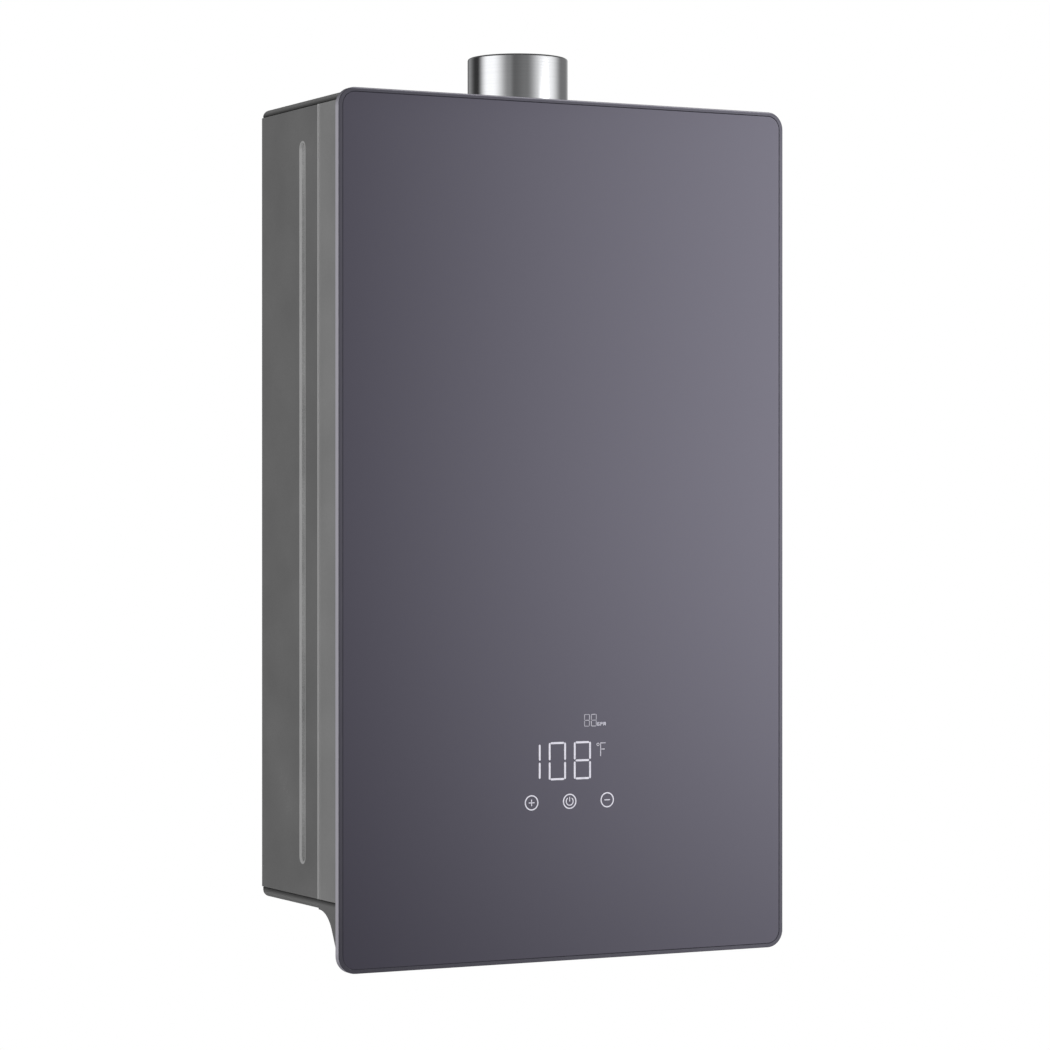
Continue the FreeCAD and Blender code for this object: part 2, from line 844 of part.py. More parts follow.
trim_rear = cover_front
trim_floor = trim_rear - cell("trim_back")
glass_rear = glass_front + cell("glass_thickness")
trim_frame = body("trim_frame")
pad(trim_frame, "trim_block", "XZ", glass_front, trim_rear,
    panel_loop(as_size(0)), window_loop(lip_w + cell("trim_flange")))
pocket(trim_frame, "glass_seat", "XZ", glass_front, trim_floor, panel_loop(lip_w))
glass_inset = lip_w + cell("glass_gap")
glass_panel = body("glass_panel")
pad(glass_panel, "glass_sheet", "XZ", glass_front, glass_rear, panel_loop(glass_inset))
bonding_tape = body("bonding_tape")
tape_inset = lip_w + cell("tape_inset")
pad(bonding_tape, "tape_ring", "XZ", glass_rear, trim_floor,
    panel_loop(tape_inset), window_loop(tape_inset + cell("tape_width")))

# Display: the holder clipped in the cover's window, the board, and the touch springs' pads.
board_front = glass_rear + cell("display_setback") - cell("board_thickness")
board_rear = board_front + cell("board_thickness")
holder_front = glass_rear + seam
holder_rear = board_rear + holder_wall
display_holder = body("display_holder")
pad(display_holder, "holder_block", "XZ", holder_front, holder_rear,
    rectangle(-display_half - holder_wall, display_half + holder_wall,
              display_low - holder_wall, display_high + holder_wall))
pad(display_holder, "holder_rim", "XZ", inner_front, inner_front + holder_wall,
    rectangle(-display_half - holder_wall * 2, display_half + holder_wall * 2,
              display_low - holder_wall * 2, display_high + holder_wall * 2))
pocket(display_holder, "holder_room", "XZ", holder_front, board_rear,
       rectangle(-display_half, display_half, display_low, display_high))
pocket(display_holder, "holder_window", "XZ", board_rear, holder_rear,
       rectangle(-display_half + holder_wall * 2, display_half - holder_wall * 2,
                 display_low + holder_wall * 2, display_high - holder_wall * 2))
display_board = body("display_board")
pad(display_board, "board_sheet", "XZ", board_front, board_rear,
    rectangle(-display_half, display_half, display_low, display_high))
module_high = display_high - holder_wall
module_half = cell("module_width") / 2
pad(display_board, "digit_block", "XZ", holder_front, board_front,
    rectangle(-module_half, module_half, module_high - cell("module_height"), module_high))
touch_z = display_mid - cell("touch_pad_drop")
touch_pads = [
    solid_rod("+Y", (cell("touch_pad_pitch") * n, glass_rear, touch_z), board_front - glass_rear,
              cell("touch_pad_radius"))
    for n in (-1, 0, 1)
]
gather("touch_pads", touch_pads)

# Flue: gasket and collar on the top cap, with a light flap that falls shut when the fan stops.
flue_wall = cell("flue_wall")
neck_flue_r = flue_r - cell("flue_swage")
duct_r = neck_flue_r - flue_wall
run = cell("running_gap")
flue_foot = cell("outlet_top") + cell("fan_flange")
flue_top = body_top + cell("flue_rise")
flange_low = body_top + cell("gasket_thickness")
flange_high = flange_low + cell("flue_flange")
ring("flue_gasket", cell("flue_flange_radius"), flue_hole_r, cell("gasket_thickness"),
     flue_x, flue_y, body_top)
ring("flue_flange", cell("flue_flange_radius"), neck_flue_r + run, cell("flue_flange"),
     flue_x, flue_y, flange_low)
shoulder = flange_high - flue_foot
collar_l = flue_top - flue_foot
collar_turned = turned("collar_turned", [
    (duct_r, 0), (neck_flue_r, 0), (neck_flue_r, shoulder), (flue_r, shoulder), (flue_r, collar_l),
    (flue_r - flue_wall, collar_l), (flue_r - flue_wall, shoulder + flue_wall),
    (duct_r, shoulder + flue_wall),
], flue_x, flue_y, flue_foot)
pin_r = cell("flap_pin_radius")
pin_y = flue_y + cell("flap_offset")
pin_z = flue_top - cell("flap_drop")
flap_high = pin_z - pin_r - run
flap_low = flap_high - cell("flap_thickness")
stop_size = cell("flap_stop")
stop_top = flap_low - cell("rest_gap")
flap_stop = box("flap_stop_block", (-stop_size, stop_size),
                (flue_y - neck_flue_r, flue_y - duct_r + stop_size), (stop_top - stop_size, stop_top))
stop_trim = rod("flap_stop_trim", "+Z", (flue_x, flue_y, flue_foot), collar_l, neck_flue_r - run)
pin_hole = rod("flap_pin_hole", "+X", (-flue_r * 2, pin_y, pin_z), flue_r * 4, pin_r + run)
stopped_collar = fuse("stopped_collar", collar_turned, common("flap_stop", flap_stop, stop_trim))
cut("flue_collar", stopped_collar, pin_hole)

flap_r = duct_r - cell("flap_gap")
flap_disc = rod("flap_disc", "+Z", (flue_x, flue_y, flap_low), cell("flap_thickness"), flap_r)
saddle_w = cell("saddle_width")
saddles = [
    box(f"flap_saddle_{word}", (low, low + saddle_w),
        (pin_y - pin_r * 2, pin_y + pin_r * 2), (flap_high, pin_z + pin_r * 2))
    for word, low in (("left", -flap_r / 2 - saddle_w / 2), ("right", flap_r / 2 - saddle_w / 2))
]
saddle_bore = rod("flap_saddle_bore", "+X", (-flue_r, pin_y, pin_z), flue_r * 2, pin_r)
cut("backflow_flap", fuse("flap_pressing", flap_disc, *saddles), saddle_bore)
rod("flap_pin", "+X", (-neck_flue_r + run, pin_y, pin_z), (neck_flue_r - run) * 2, pin_r)

# Exhaust fan: a scroll with its inlet behind and its outlet up into the flue collar.
fan_x = -cell("fan_shift")
fan_z = cell("fan_height")
scroll_rear = flue_y + cell("scroll_depth") / 2
scroll_front = scroll_rear - cell("scroll_depth")
scroll_wall = cell("scroll_wall")
outlet_half = cell("outlet_width") / 2
outlet_top = cell("outlet_top")


def scroll_loop(grow, top):
    """The scroll: three quarter arcs that widen towards the outlet, and the outlet's two sides."""
    right_r = cell("scroll_right_radius") + grow
    lower_r = cell("scroll_lower_radius") + grow
    left_r = cell("scroll_left_radius") + grow
    floor = cell("scroll_floor") - grow
    right = outlet_half + grow
    lower_x = right - right_r
    left = lower_x - lower_r
    left_z = floor + lower_r
    return [
        (-outlet_half - grow, top), (-outlet_half - grow, left_z + left_r),
        (left + left_r, left_z + left_r, left_r), (left, left_z, lower_r),
        (lower_x, floor, right_r), (right, floor + right_r), (right, top),
    ]


fan_housing = body("fan_housing")
pad(fan_housing, "scroll_block", "XZ", scroll_front, scroll_rear, scroll_loop(scroll_wall, outlet_top))
flange_half = cell("fan_flange_half")
pad(fan_housing, "outlet_flange", "XY", outlet_top, flue_foot,
    rectangle(-flange_half, flange_half, flue_y - flange_half, flue_y + flange_half))
pocket(fan_housing, "scroll_room", "XZ", scroll_front, scroll_rear - scroll_wall,
       scroll_loop(as_size(0), outlet_top - run))
pocket(fan_housing, "outlet_bore", "XY", outlet_top - scroll_wall, flue_foot,
       ("circle", flue_x, flue_y, cell("outlet_hole")))
pocket(fan_housing, "inlet_bore", "XZ", scroll_rear - scroll_wall, scroll_rear,
       ("circle", fan_x, fan_z, cell("fan_inlet_radius")))
housing_cover = body("fan_housing_cover")
cover_plate_front = scroll_front - scroll_wall
pad(housing_cover, "scroll_lid", "XZ", cover_plate_front, scroll_front, scroll_loop(scroll_wall, outlet_top))
motor_rear = cover_plate_front - cell("boss_length")
pad(housing_cover, "motor_boss", "XZ", motor_rear, cover_plate_front,
    ("circle", fan_x, fan_z, cell("motor_radius")))
pocket(housing_cover, "shaft_hole", "XZ", motor_rear, scroll_front,
       ("circle", fan_x, fan_z, cell("bearing_radius")))

shaft_r = cell("shaft_radius")
fan_rear = scroll_rear - scroll_wall - cell("impeller_gap")
fan_r = cell("fan_radius")
fan_w = cell("fan_width")
blade_inner_r = fan_r - cell("fan_blade_depth")
plate_t = cell("fan_plate")
hub_low = fan_w / 2
impeller = body("fan_impeller")
pad(impeller, "back_plate", "XY", fan_w - plate_t, fan_w, ("circle", 0, 0, fan_r))
pad(impeller, "hub", "XY", hub_low, fan_w - plate_t, ("circle", 0, 0, cell("hub_radius")))
blade_t = plate_t / 2
blade_skew = cell("fan_blade_depth") / 2
blade = pad(impeller, "blade", "XY", plate_t / 2, fan_w - plate_t, [
    (blade_inner_r + blade_t, -blade_t), (fan_r - blade_t, blade_skew - blade_t),
    (fan_r - blade_t, blade_skew + blade_t), (blade_inner_r + blade_t, blade_t)])
blades = impeller.newObject("PartDesign::PolarPattern", "blade_ring")
blades.Originals = [blade]
blades.Axis = (blade.Profile[0], ["N_Axis"])
blades.Angle = 360
bind(blades, "Occurrences", cell("fan_blades"))
impeller.Tip = blades
pad(impeller, "front_ring", "XY", 0, plate_t, ("circle", 0, 0, fan_r), ("circle", 0, 0, blade_inner_r))
pocket(impeller, "shaft_bore", "XY", hub_low, fan_w, ("circle", 0, 0, shaft_r))
place(impeller, fan_x, fan_rear, fan_z, "-Y")

motor_l = cell("motor_length")
bearing_r = cell("bearing_radius")
bearing_w = cell("bearing_width")
core_r = shaft_r + cell("motor_wall")
turned("fan_motor", [
    (bearing_r, 0), (cell("motor_radius"), 0), (cell("motor_radius"), motor_l), (bearing_r, motor_l),
    (bearing_r, motor_l - bearing_w), (core_r, motor_l - bearing_w),
    (core_r, bearing_w), (bearing_r, bearing_w),
], fan_x, motor_rear, fan_z, "-Y")
bearings = []
for start in (as_size(0), motor_l - bearing_w):
    spot = (fan_x, motor_rear - start, fan_z)
    bearings.append(solid_rod("-Y", spot, bearing_w, bearing_r).cut(
        solid_rod("-Y", spot, bearing_w, shaft_r + run)))
gather("motor_bearings", bearings)
shaft_start = fan_rear - hub_low
rod("motor_shaft", "-Y", (fan_x, shaft_start, fan_z), shaft_start - motor_rear + motor_l, shaft_r)

# Fume hood: it covers the heat exchanger and leads the gases up behind the fan to its inlet.
wall = cell("jacket_wall")
jacket_side = side - cell("jacket_side_room")
jacket_rear = -cell("jacket_back")
jacket_front = jacket_rear - cell("jacket_depth")
jacket_top = cell("jacket_top")
jacket_bottom = cell("jacket_bottom")
hood_top = jacket_top + cell("hood_height")
duct_half = cell("hood_duct_width") / 2
duct_top = cell("hood_duct_top")
cut("fume_hood",
    fuse("hood_outside",
         box("hood_chamber", (-jacket_side, jacket_side), (jacket_front, jacket_rear),
             (jacket_top, hood_top)),
         box("hood_duct", (fan_x - duct_half, fan_x + duct_half), (scroll_rear, jacket_rear),
             (jacket_top, duct_top))),
    box("hood_chamber_room", (-jacket_side + wall, jacket_side - wall),
        (jacket_front + wall, jacket_rear - wall), (jacket_top, hood_top - wall)),
    box("hood_duct_room", (fan_x - duct_half + wall, fan_x + duct_half - wall),
        (scroll_rear + wall, jacket_rear - wall), (jacket_top, duct_top - wall)),
    rod("hood_outlet", "+Y", (fan_x, scroll_rear - wall, fan_z), wall * 3, cell("fan_inlet_radius")))

# Heat exchanger: copper jacket, a serpentine of finned tubes, and a coil round the jacket.
tube_r = cell("tube_radius")
tube_z = cell("tube_height")
row_count = int(cell("tube_rows").number)
row_pitch = (cell("jacket_depth") - cell("tube_inset") * 2) / (row_count - 1)
rows = [jacket_rear - cell("tube_inset") - row_pitch * n for n in range(row_count)]
igniter_z = cell("electrode_height")
ceramic_r = cell("ceramic_radius")
igniter_mid = -cell("igniter_shift")
igniter_half = cell("igniter_spacing") / 2
electrode_xs = [igniter_mid - igniter_half, igniter_mid + igniter_half, cell("probe_shift")]
tube_holes = [
    rod(f"tube_hole_{n}", "+X", (-jacket_side - wall, y, tube_z), (jacket_side + wall) * 2, tube_r)
    for n, y in enumerate(rows, start=1)
]
ceramic_holes = [
    rod(f"ceramic_hole_{n}", "+Y", (x, jacket_front - wall, igniter_z), wall * 3, ceramic_r)
    for n, x in enumerate(electrode_xs, start=1)
]
cut("exchanger_jacket",
    box("jacket_outside", (-jacket_side, jacket_side), (jacket_front, jacket_rear),
        (jacket_bottom, jacket_top)),
    box("jacket_room", (-jacket_side + wall, jacket_side - wall), (jacket_front + wall, jacket_rear - wall),
        (jacket_bottom, jacket_top)),
    *tube_holes, *ceramic_holes)

bend_x = jacket_side + cell("bend_setback") + row_pitch / 2
tube_end_x = -jacket_side - cell("tube_end")
route = [(tube_end_x, rows[0], tube_z)]
for n in range(row_count - 1):
    reach = bend_x if n % 2 == 0 else -bend_x
    route += [(reach, rows[n], tube_z), (reach, rows[n + 1], tube_z)]
route.append((tube_end_x, rows[-1], tube_z))
bent_pipe("exchanger_tubes", route, tube_r, tube_r - cell("tube_wall"), row_pitch / 2 - cell("bend_slack"))

fin_low = tube_z - cell("fin_height") / 2
fin_gap = wall + cell("fin_side_gap")
fin_t = cell("fin_thickness")
fin = solid_box((-jacket_side, -jacket_side + fin_t), (jacket_front + fin_gap, jacket_rear - fin_gap),
                (fin_low, fin_low + cell("fin_height")))
for y in rows:
    fin = fin.cut(solid_rod("+X", (-jacket_side - wall, y, tube_z), jacket_side, tube_r))
fin_count = int(cell("fin_count").number)
fin_pitch = jacket_side * 2 / (fin_count + 1)
gather("fin_pack", [lift(fin, fin_pitch * (n + 1), 0, 0) for n in range(fin_count)])

pipe_r = cell("pipe_radius")
pipe_bore = pipe_r - cell("pipe_wall")
bend = cell("pipe_bend")
coil_x = jacket_side + cell("coil_standoff")
coil_front = jacket_front - cell("coil_standoff")
coil_rear = jacket_rear + cell("coil_standoff")
riser_x = jacket_side + cell("riser_standoff")
coil_low = cell("coil_low")
climb = cell("coil_climb")
riser_foot = jacket_bottom + cell("riser_foot_rise")
coil_corners = [(coil_x, coil_front), (-coil_x, coil_front), (-coil_x, coil_rear), (coil_x, coil_rear),
                (coil_x, coil_front), (-coil_x, coil_front)]
coil_route = [(riser_x, fitting_y, riser_foot), (riser_x, fitting_y, coil_low - climb / 2)]
coil_route += [(x, y, coil_low + climb * n) for n, (x, y) in enumerate(coil_corners)]
coil_route += [(-riser_x, rows[-1], coil_low + climb * len(coil_corners)),
               (-riser_x, rows[-1], tube_z), (tube_end_x, rows[-1], tube_z)]
bent_pipe("jacket_coil", coil_route, pipe_r, pipe_bore, bend)

sensor_z = jacket_top - cell("thermostat_drop")
thermostat = solid_rod("-Y", (jacket_side / 2, jacket_front, sensor_z), cell("thermostat_depth"),
                       cell("thermostat_radius"))

# Burner: a tray hung on the casing's back, its blades, and the manifold with a nozzle for each.
tray_side = jacket_side - cell("burner_inset")
tray_wall = cell("burner_wall")
tray_bottom = jacket_bottom - cell("burner_height")
blade_count = int(cell("blade_count").number)
blade_pitch = (tray_side - tray_wall) * 2 / blade_count
blade_xs = [-tray_side + tray_wall + blade_pitch * (n + 0.5) for n in range(blade_count)]
manifold_side = cell("manifold_side")
nozzle_z = tray_bottom + manifold_side / 2
bracket_x = tray_side - cell("bracket_inset")
brackets = [
    box(f"tray_bracket_{word}", (x, x + cell("bracket_width")), (jacket_rear, inner_back),
        (tray_bottom, jacket_bottom + cell("bracket_rise")))
    for word, x in (("left", -bracket_x), ("right", bracket_x - cell("bracket_width")))
]
bracket_rooms = [
    box(f"bracket_room_{word}", (x + tray_wall, x + cell("bracket_width") - tray_wall),
        (jacket_rear, inner_back - tray_wall), (tray_bottom, jacket_bottom + cell("bracket_rise")))
    for word, x in (("left", -bracket_x), ("right", bracket_x - cell("bracket_width")))
]
air_inset = cell("blade_inset")
nozzle_holes = [
    rod(f"nozzle_hole_{n}", "+Y", (x, jacket_front - wall, nozzle_z), tray_wall * 3, cell("nozzle_radius"))
    for n, x in enumerate(blade_xs, start=1)
]
cut("burner_tray",
    fuse("tray_pressing",
         box("tray_outside", (-tray_side, tray_side), (jacket_front, jacket_rear),
             (tray_bottom, jacket_bottom)),
         *brackets),
    box("tray_room", (-tray_side + tray_wall, tray_side - tray_wall),
        (jacket_front + tray_wall, jacket_rear - tray_wall), (tray_bottom + tray_wall, jacket_bottom)),
    box("tray_air_inlet", (-tray_side + air_inset, tray_side - air_inset),
        (jacket_front + air_inset, jacket_rear - air_inset),
        (tray_bottom - tray_wall, tray_bottom + tray_wall)),
    *bracket_rooms, *nozzle_holes)
blade_low = tray_bottom + tray_wall
blade_high = jacket_bottom - cell("flame_room")
blade_half = cell("blade_width") / 2
slit = cell("flame_slit")
blade_front = jacket_front + tray_wall
blade_rear = jacket_rear - tray_wall
burner_blade = solid_box((-blade_half, blade_half), (blade_front, blade_rear), (blade_low, blade_high))
for hollow in (
    solid_box((-blade_half + wall, blade_half - wall), (blade_front + wall, blade_rear - wall),
              (blade_low + wall, blade_high - wall)),
    solid_box((-slit / 2, slit / 2), (jacket_front + air_inset, jacket_rear - air_inset),
              (blade_high - slit * 2, blade_high)),
    solid_rod("+Y", (0, blade_front, nozzle_z), wall * 2, cell("nozzle_radius")),
):
    burner_blade = burner_blade.cut(hollow)
gather("burner_blades", [lift(burner_blade, x, 0, 0) for x in blade_xs])

manifold_half = tray_side - cell("manifold_inset")
manifold_y = jacket_front - manifold_side / 2
gas_manifold = solid_box((-manifold_half, manifold_half), (jacket_front - manifold_side, jacket_front),
                         (tray_bottom, tray_bottom + manifold_side))
for x in blade_xs:
    gas_manifold = gas_manifold.fuse(solid_rod("+Y", (x, jacket_front - wall, nozzle_z), wall + tray_wall,
                                               cell("nozzle_radius")))
manifold_wall = cell("manifold_wall")
gas_manifold = gas_manifold.cut(solid_box(
    (-manifold_half + manifold_wall, manifold_half - manifold_wall),
    (jacket_front - manifold_side + manifold_wall, jacket_front - manifold_wall),
    (tray_bottom + manifold_wall, tray_bottom + manifold_side - manifold_wall)))
for x in blade_xs:
    jet = solid_rod("+Y", (x, manifold_y, nozzle_z), manifold_side, cell("jet_radius"))
    gas_manifold = gas_manifold.cut(jet)
gas_manifold = gas_manifold.cut(solid_rod("+Z", (gas_x, manifold_y, tray_bottom - wall),
                                          manifold_side / 2, pipe_bore))
shape_node("gas_manifold", gas_manifold)


def electrode(x):
    """A ceramic sleeve in the jacket's wall with a metal rod that reaches over the flames."""
    sleeve = solid_rod("+Y", (x, jacket_front - cell("ceramic_stand"), igniter_z), cell("ceramic_length"),
                       ceramic_r)
    tip = solid_rod("+Y", (x, jacket_front - cell("electrode_stand"), igniter_z), cell("electrode_length"),
                    cell("electrode_radius"))
    return sleeve.fuse(tip)


gather("flame_electrodes", [electrode(x) for x in electrode_xs])


# Pipe fittings in the floor
fitting_low = body_bottom - cell("fitting_reach")
fitting_top = inner_bottom + cell("fitting_height")
reach = inner_bottom - fitting_low


def fitting(name, x, bore):
    """A threaded nipple below the floor, a flange that sits on the floor, and a socket above."""
    thread_r = cell("thread_radius")
    flange = reach + cell("fitting_flange")
    return turned(name, [
        (bore, 0), (thread_r, 0), (thread_r, cell("thread_length")), (neck_r, cell("thread_length")),
        (neck_r, reach), (cell("fitting_flange_radius"), reach), (cell("fitting_flange_radius"), flange),
        (cell("fitting_body_radius"), flange), (cell("fitting_body_radius"), fitting_top - fitting_low),
        (bore, fitting_top - fitting_low),
    ], x, fitting_y, fitting_low)


fitting("hot_outlet_fitting", hot_x, cell("fitting_bore"))
fitting("gas_inlet_fitting", gas_x, cell("fitting_bore"))
fitting("cold_inlet_fitting", cold_x, cell("inlet_bore"))


def grommet(x):
    """A rubber ring that fills a pipe's hole and laps over the floor's underside."""
    lip_t = cell("grommet_lip")
    low = (x, fitting_y, body_bottom - lip_t)
    fill = solid_rod("+Z", low, lip_t + sheet_metal, pipe_hole_r)
    lap = solid_rod("+Z", low, lip_t, pipe_hole_r + lip_t)
    return fill.fuse(lap).cut(solid_rod("+Z", low, lip_t + sheet_metal, neck_r))


gather("pipe_grommets", [grommet(x) for x in (hot_x, gas_x, cold_x)])

filter_r = cell("inlet_bore") - run
filter_t = cell("filter_wall")
filter_l = cell("filter_length")
turned("inlet_filter", [
    (filter_r - filter_t, 0), (filter_r, 0), (filter_r, filter_l), (0, filter_l),
    (0, filter_l - filter_t), (filter_r - filter_t, filter_l - filter_t),
], cold_x, fitting_y, fitting_low)

# Gas valve: a cast block with two solenoids on top, each with its plunger and return spring.
valve_half = cell("valve_width") / 2
valve_rear = fitting_y + cell("valve_depth") / 2
valve_front = valve_rear - cell("valve_depth")
valve_top = fitting_top + cell("valve_height")
coil_xs = {"cutoff": -cell("coil_spacing") / 2, "modulating": cell("coil_spacing") / 2}
plunger_r = cell("plunger_radius")
plunger_slack = plunger_r + cell("rest_gap")
well = cell("plunger_well")
outlet_z = fitting_top + cell("gas_pipe_drop")
gas_bore = cell("fitting_bore")
wells = [
    rod(f"{word}_well", "+Z", (x, fitting_y, valve_top - well), well, plunger_slack)
    for word, x in coil_xs.items()
]
cut("gas_valve_body",
    box("valve_block", (-valve_half, valve_half), (valve_front, valve_rear), (fitting_top, valve_top)),
    *wells,
    rod("valve_inlet", "+Z", (gas_x, fitting_y, fitting_top), outlet_z - fitting_top, gas_bore),
    rod("valve_outlet", "-Y", (gas_x, fitting_y, outlet_z), cell("valve_depth"), pipe_bore))
coil_top = cell("coil_height")
cap_t = cell("coil_cap")
plunger_low = valve_top - well + cell("rest_gap")
plunger_top = plunger_low + cell("plunger_length")
spring_r = plunger_r - cell("rest_gap")
valve_coils = doc.addObject("Part::Compound", "valve_coils")
valve_coils.Links = [
    turned(f"{word}_coil", [
        (plunger_slack, 0), (cell("coil_radius"), 0), (cell("coil_radius"), coil_top), (0, coil_top),
        (0, coil_top - cap_t), (plunger_slack, coil_top - cap_t),
    ], x, fitting_y, valve_top)
    for word, x in coil_xs.items()
]
for word, x in coil_xs.items():
    rod(f"{word}_plunger", "+Z", (x, fitting_y, plunger_low), cell("plunger_length"), plunger_r)
    ring(f"{word}_spring", spring_r, spring_r - cell("spring_wall"),
         valve_top + coil_top - cap_t - plunger_top, x, fitting_y, plunger_top)
bent_pipe("gas_pipe", [(gas_x, valve_front, outlet_z), (gas_x, manifold_y, outlet_z),
                       (gas_x, manifold_y, tray_bottom)], pipe_r, pipe_bore, bend)

# Water side: flow sensor with its turbine, cold and hot pipes, and the drain.
sensor_low = fitting_top
sensor_l = cell("sensor_height")
throat_r = pipe_bore
throat_l = cell("sensor_throat")
sensor_turned = turned("sensor_turned", [
    (throat_r, 0), (cell("sensor_radius"), 0), (cell("sensor_radius"), sensor_l), (throat_r, sensor_l),
    (throat_r, sensor_l - throat_l), (cell("sensor_bore"), sensor_l - throat_l),
    (cell("sensor_bore"), throat_l), (throat_r, throat_l),
], cold_x, fitting_y, sensor_low)
axle_r = cell("axle_radius")
web = throat_r + run
webs = [
    box(f"sensor_web_{word}", (cold_x - web, cold_x + web), (fitting_y - axle_r, fitting_y + axle_r),
        (low, low + throat_l / 2))
    for word, low in (("lower", sensor_low + throat_l / 2), ("upper", sensor_low + sensor_l - throat_l))
]
axle = rod("sensor_axle", "+Z", (cold_x, fitting_y, sensor_low + throat_l), sensor_l - throat_l * 2, axle_r)
fuse("flow_sensor_body", sensor_turned, *webs, axle)
rotor = body("flow_rotor")
rotor_l = cell("rotor_height")
rotor_hub = cell("rotor_hub_radius")
pad(rotor, "rotor_hub", "XY", 0, rotor_l, ("circle", 0, 0, rotor_hub))
vane = pad(rotor, "vane", "XY", 0, rotor_l, rectangle(
    rotor_hub - axle_r / 2, cell("sensor_bore") - cell("rotor_gap"), -axle_r / 2, axle_r / 2))
vanes = rotor.newObject("PartDesign::PolarPattern", "vane_ring")
vanes.Originals = [vane]
vanes.Axis = (vane.Profile[0], ["N_Axis"])
vanes.Angle = 360
bind(vanes, "Occurrences", cell("rotor_vanes"))
rotor.Tip = vanes
pocket(rotor, "rotor_bore", "XY", 0, rotor_l, ("circle", 0, 0, axle_r + run))
place(rotor, cold_x, fitting_y, sensor_low + throat_l + cell("rest_gap"))

sensor_top = sensor_low + sensor_l
pipe_lead = cell("pipe_lead")
cold_crest = sensor_top + cell("cold_pipe_crest")
hot_crest = fitting_top + cell("hot_pipe_crest")
bent_pipe("cold_pipe", [
    (cold_x, fitting_y, sensor_top), (cold_x, fitting_y, sensor_top + pipe_lead),
    (riser_x, fitting_y, cold_crest), (riser_x, fitting_y, riser_foot),
], pipe_r, pipe_bore, bend)
bent_pipe("hot_pipe", [
    (hot_x, fitting_y, fitting_top), (hot_x, fitting_y, fitting_top + pipe_lead),
    (-riser_x, rows[0], hot_crest), (-riser_x, rows[0], tube_z),
    (tube_end_x, rows[0], tube_z),
], pipe_r, pipe_bore, bend)
socket_r = cell("fitting_body_radius")
outlet_sensor = solid_rod("-Y", (hot_x, fitting_y, (fitting_top + inner_bottom) / 2),
                          socket_r + cell("thermostat_depth"), cell("thermostat_radius") / 2)
socket_form = solid_rod("+Z", (hot_x, fitting_y, inner_bottom), cell("fitting_height"), socket_r)
gather("temperature_sensors", [thermostat, outlet_sensor.cut(socket_form)])

drain_low = body_bottom - cell("drain_boss_length")
drain_top = inner_bottom + cell("drain_inner_height")
link_low = inner_bottom + cell("fitting_flange")
drain_bore = cell("drain_bore")
cut("drain_spigot",
    fuse("drain_block",
         rod("drain_boss", "+Z", (drain_x, fitting_y, drain_low), drain_top - drain_low, drain_r),
         box("drain_link", (drain_x, cold_x - cell("fitting_body_radius")),
             (fitting_y - drain_bore, fitting_y + drain_bore), (link_low, drain_top))),
    rod("drain_hole", "+Z", (drain_x, fitting_y, drain_low), drain_top - drain_low - wall * 2, drain_bore))
seal_t = cell("seal_wire")
seal_top = drain_low - cell("rest_gap")
knob_top = seal_top - seal_t
knob_l = cell("drain_knob_length")
knob_r = cell("drain_knob_radius")
wing_half = cell("wing_width") / 2
wing_inset = cell("wing_inset")
drain_plug = body("drain_plug")
pad(drain_plug, "plug_head", "XY", knob_top - knob_l / 3, knob_top, ("circle", 0, 0, knob_r))
pad(drain_plug, "plug_wing", "XY", knob_top - knob_l, knob_top - knob_l / 3,
    rectangle(-knob_r + wing_inset, knob_r - wing_inset, -wing_half, wing_half))
pad(drain_plug, "plug_shank", "XY", knob_top, drain_low + cell("drain_boss_length"),
    ("circle", 0, 0, drain_bore - run))
place(drain_plug, drain_x, fitting_y, 0)
ring("drain_seal", cell("seal_radius"), drain_bore, seal_t, drain_x, fitting_y, knob_top)

# Electrics: a plate that stands on the floor and carries the boxes in front of the pipework.
plate_y = -cell("plate_setback")
plate_front = plate_y - sheet_metal
plate_half = inner_side - cell("plate_side_gap")
plate_top = cell("plate_top")
pipe_gap = pipe_r + cell("plate_hole_gap")
cut("component_plate",
    fuse("plate_pressing",
         box("plate_web", (-plate_half, plate_half), (plate_front, plate_y), (inner_bottom, plate_top)),
         box("plate_foot", (-plate_half, plate_half), (plate_front, plate_y + cell("plate_foot")),
             (inner_bottom, inner_bottom + sheet_metal))),
    rod("plate_pipe_hole", "+Y", (gas_x, plate_front - wall, outlet_z), sheet_metal * 3, pipe_gap))
control_x = side - cell("control_inset")
control_half = cell("control_width") / 2
control_low = inner_bottom + cell("control_rise")
control_high = control_low + cell("control_height")
control_t = cell("control_wall")
control_front = plate_front - cell("control_depth")
control_box = body("control_box")
pad(control_box, "control_block", "XZ", control_front, plate_front,
    rectangle(control_x - control_half, control_x + control_half, control_low, control_high))
pocket(control_box, "control_room", "XZ", control_front, plate_front - control_t,
       rectangle(control_x - control_half + control_t, control_x + control_half - control_t,
                 control_low + control_t, control_high - control_t))
control_board = body("control_board")
board_low_y = plate_front - control_t * 3
pad(control_board, "board", "XZ", board_low_y - cell("board_thickness"), board_low_y,
    rectangle(control_x - control_half + control_t, control_x + control_half - control_t,
              control_low + control_t, control_high - control_t))
relay = cell("relay_size")
for row_number in range(3):
    relay_z = control_low + relay + cell("relay_pitch") * row_number
    pad(control_board, f"relay_{row_number + 1}", "XZ", board_low_y - cell("relay_height"), board_low_y,
        rectangle(control_x - relay * 2, control_x - relay, relay_z, relay_z + relay))
    capacitor_front = board_low_y - cell("capacitor_height")
    pad(control_board, f"capacitor_{row_number + 1}", "XZ", capacitor_front, board_low_y,
        ("circle", control_x + relay, relay_z + relay / 2, relay / 2))
module_x = (-control_x - cell("module_box_width") / 2, -control_x + cell("module_box_width") / 2)
module_low = control_low + control_t
module_mid = module_low + cell("module_box_height")
module_y = (plate_front - cell("module_box_depth"), plate_front)
box("ignition_module", module_x, module_y, (module_low, module_mid))
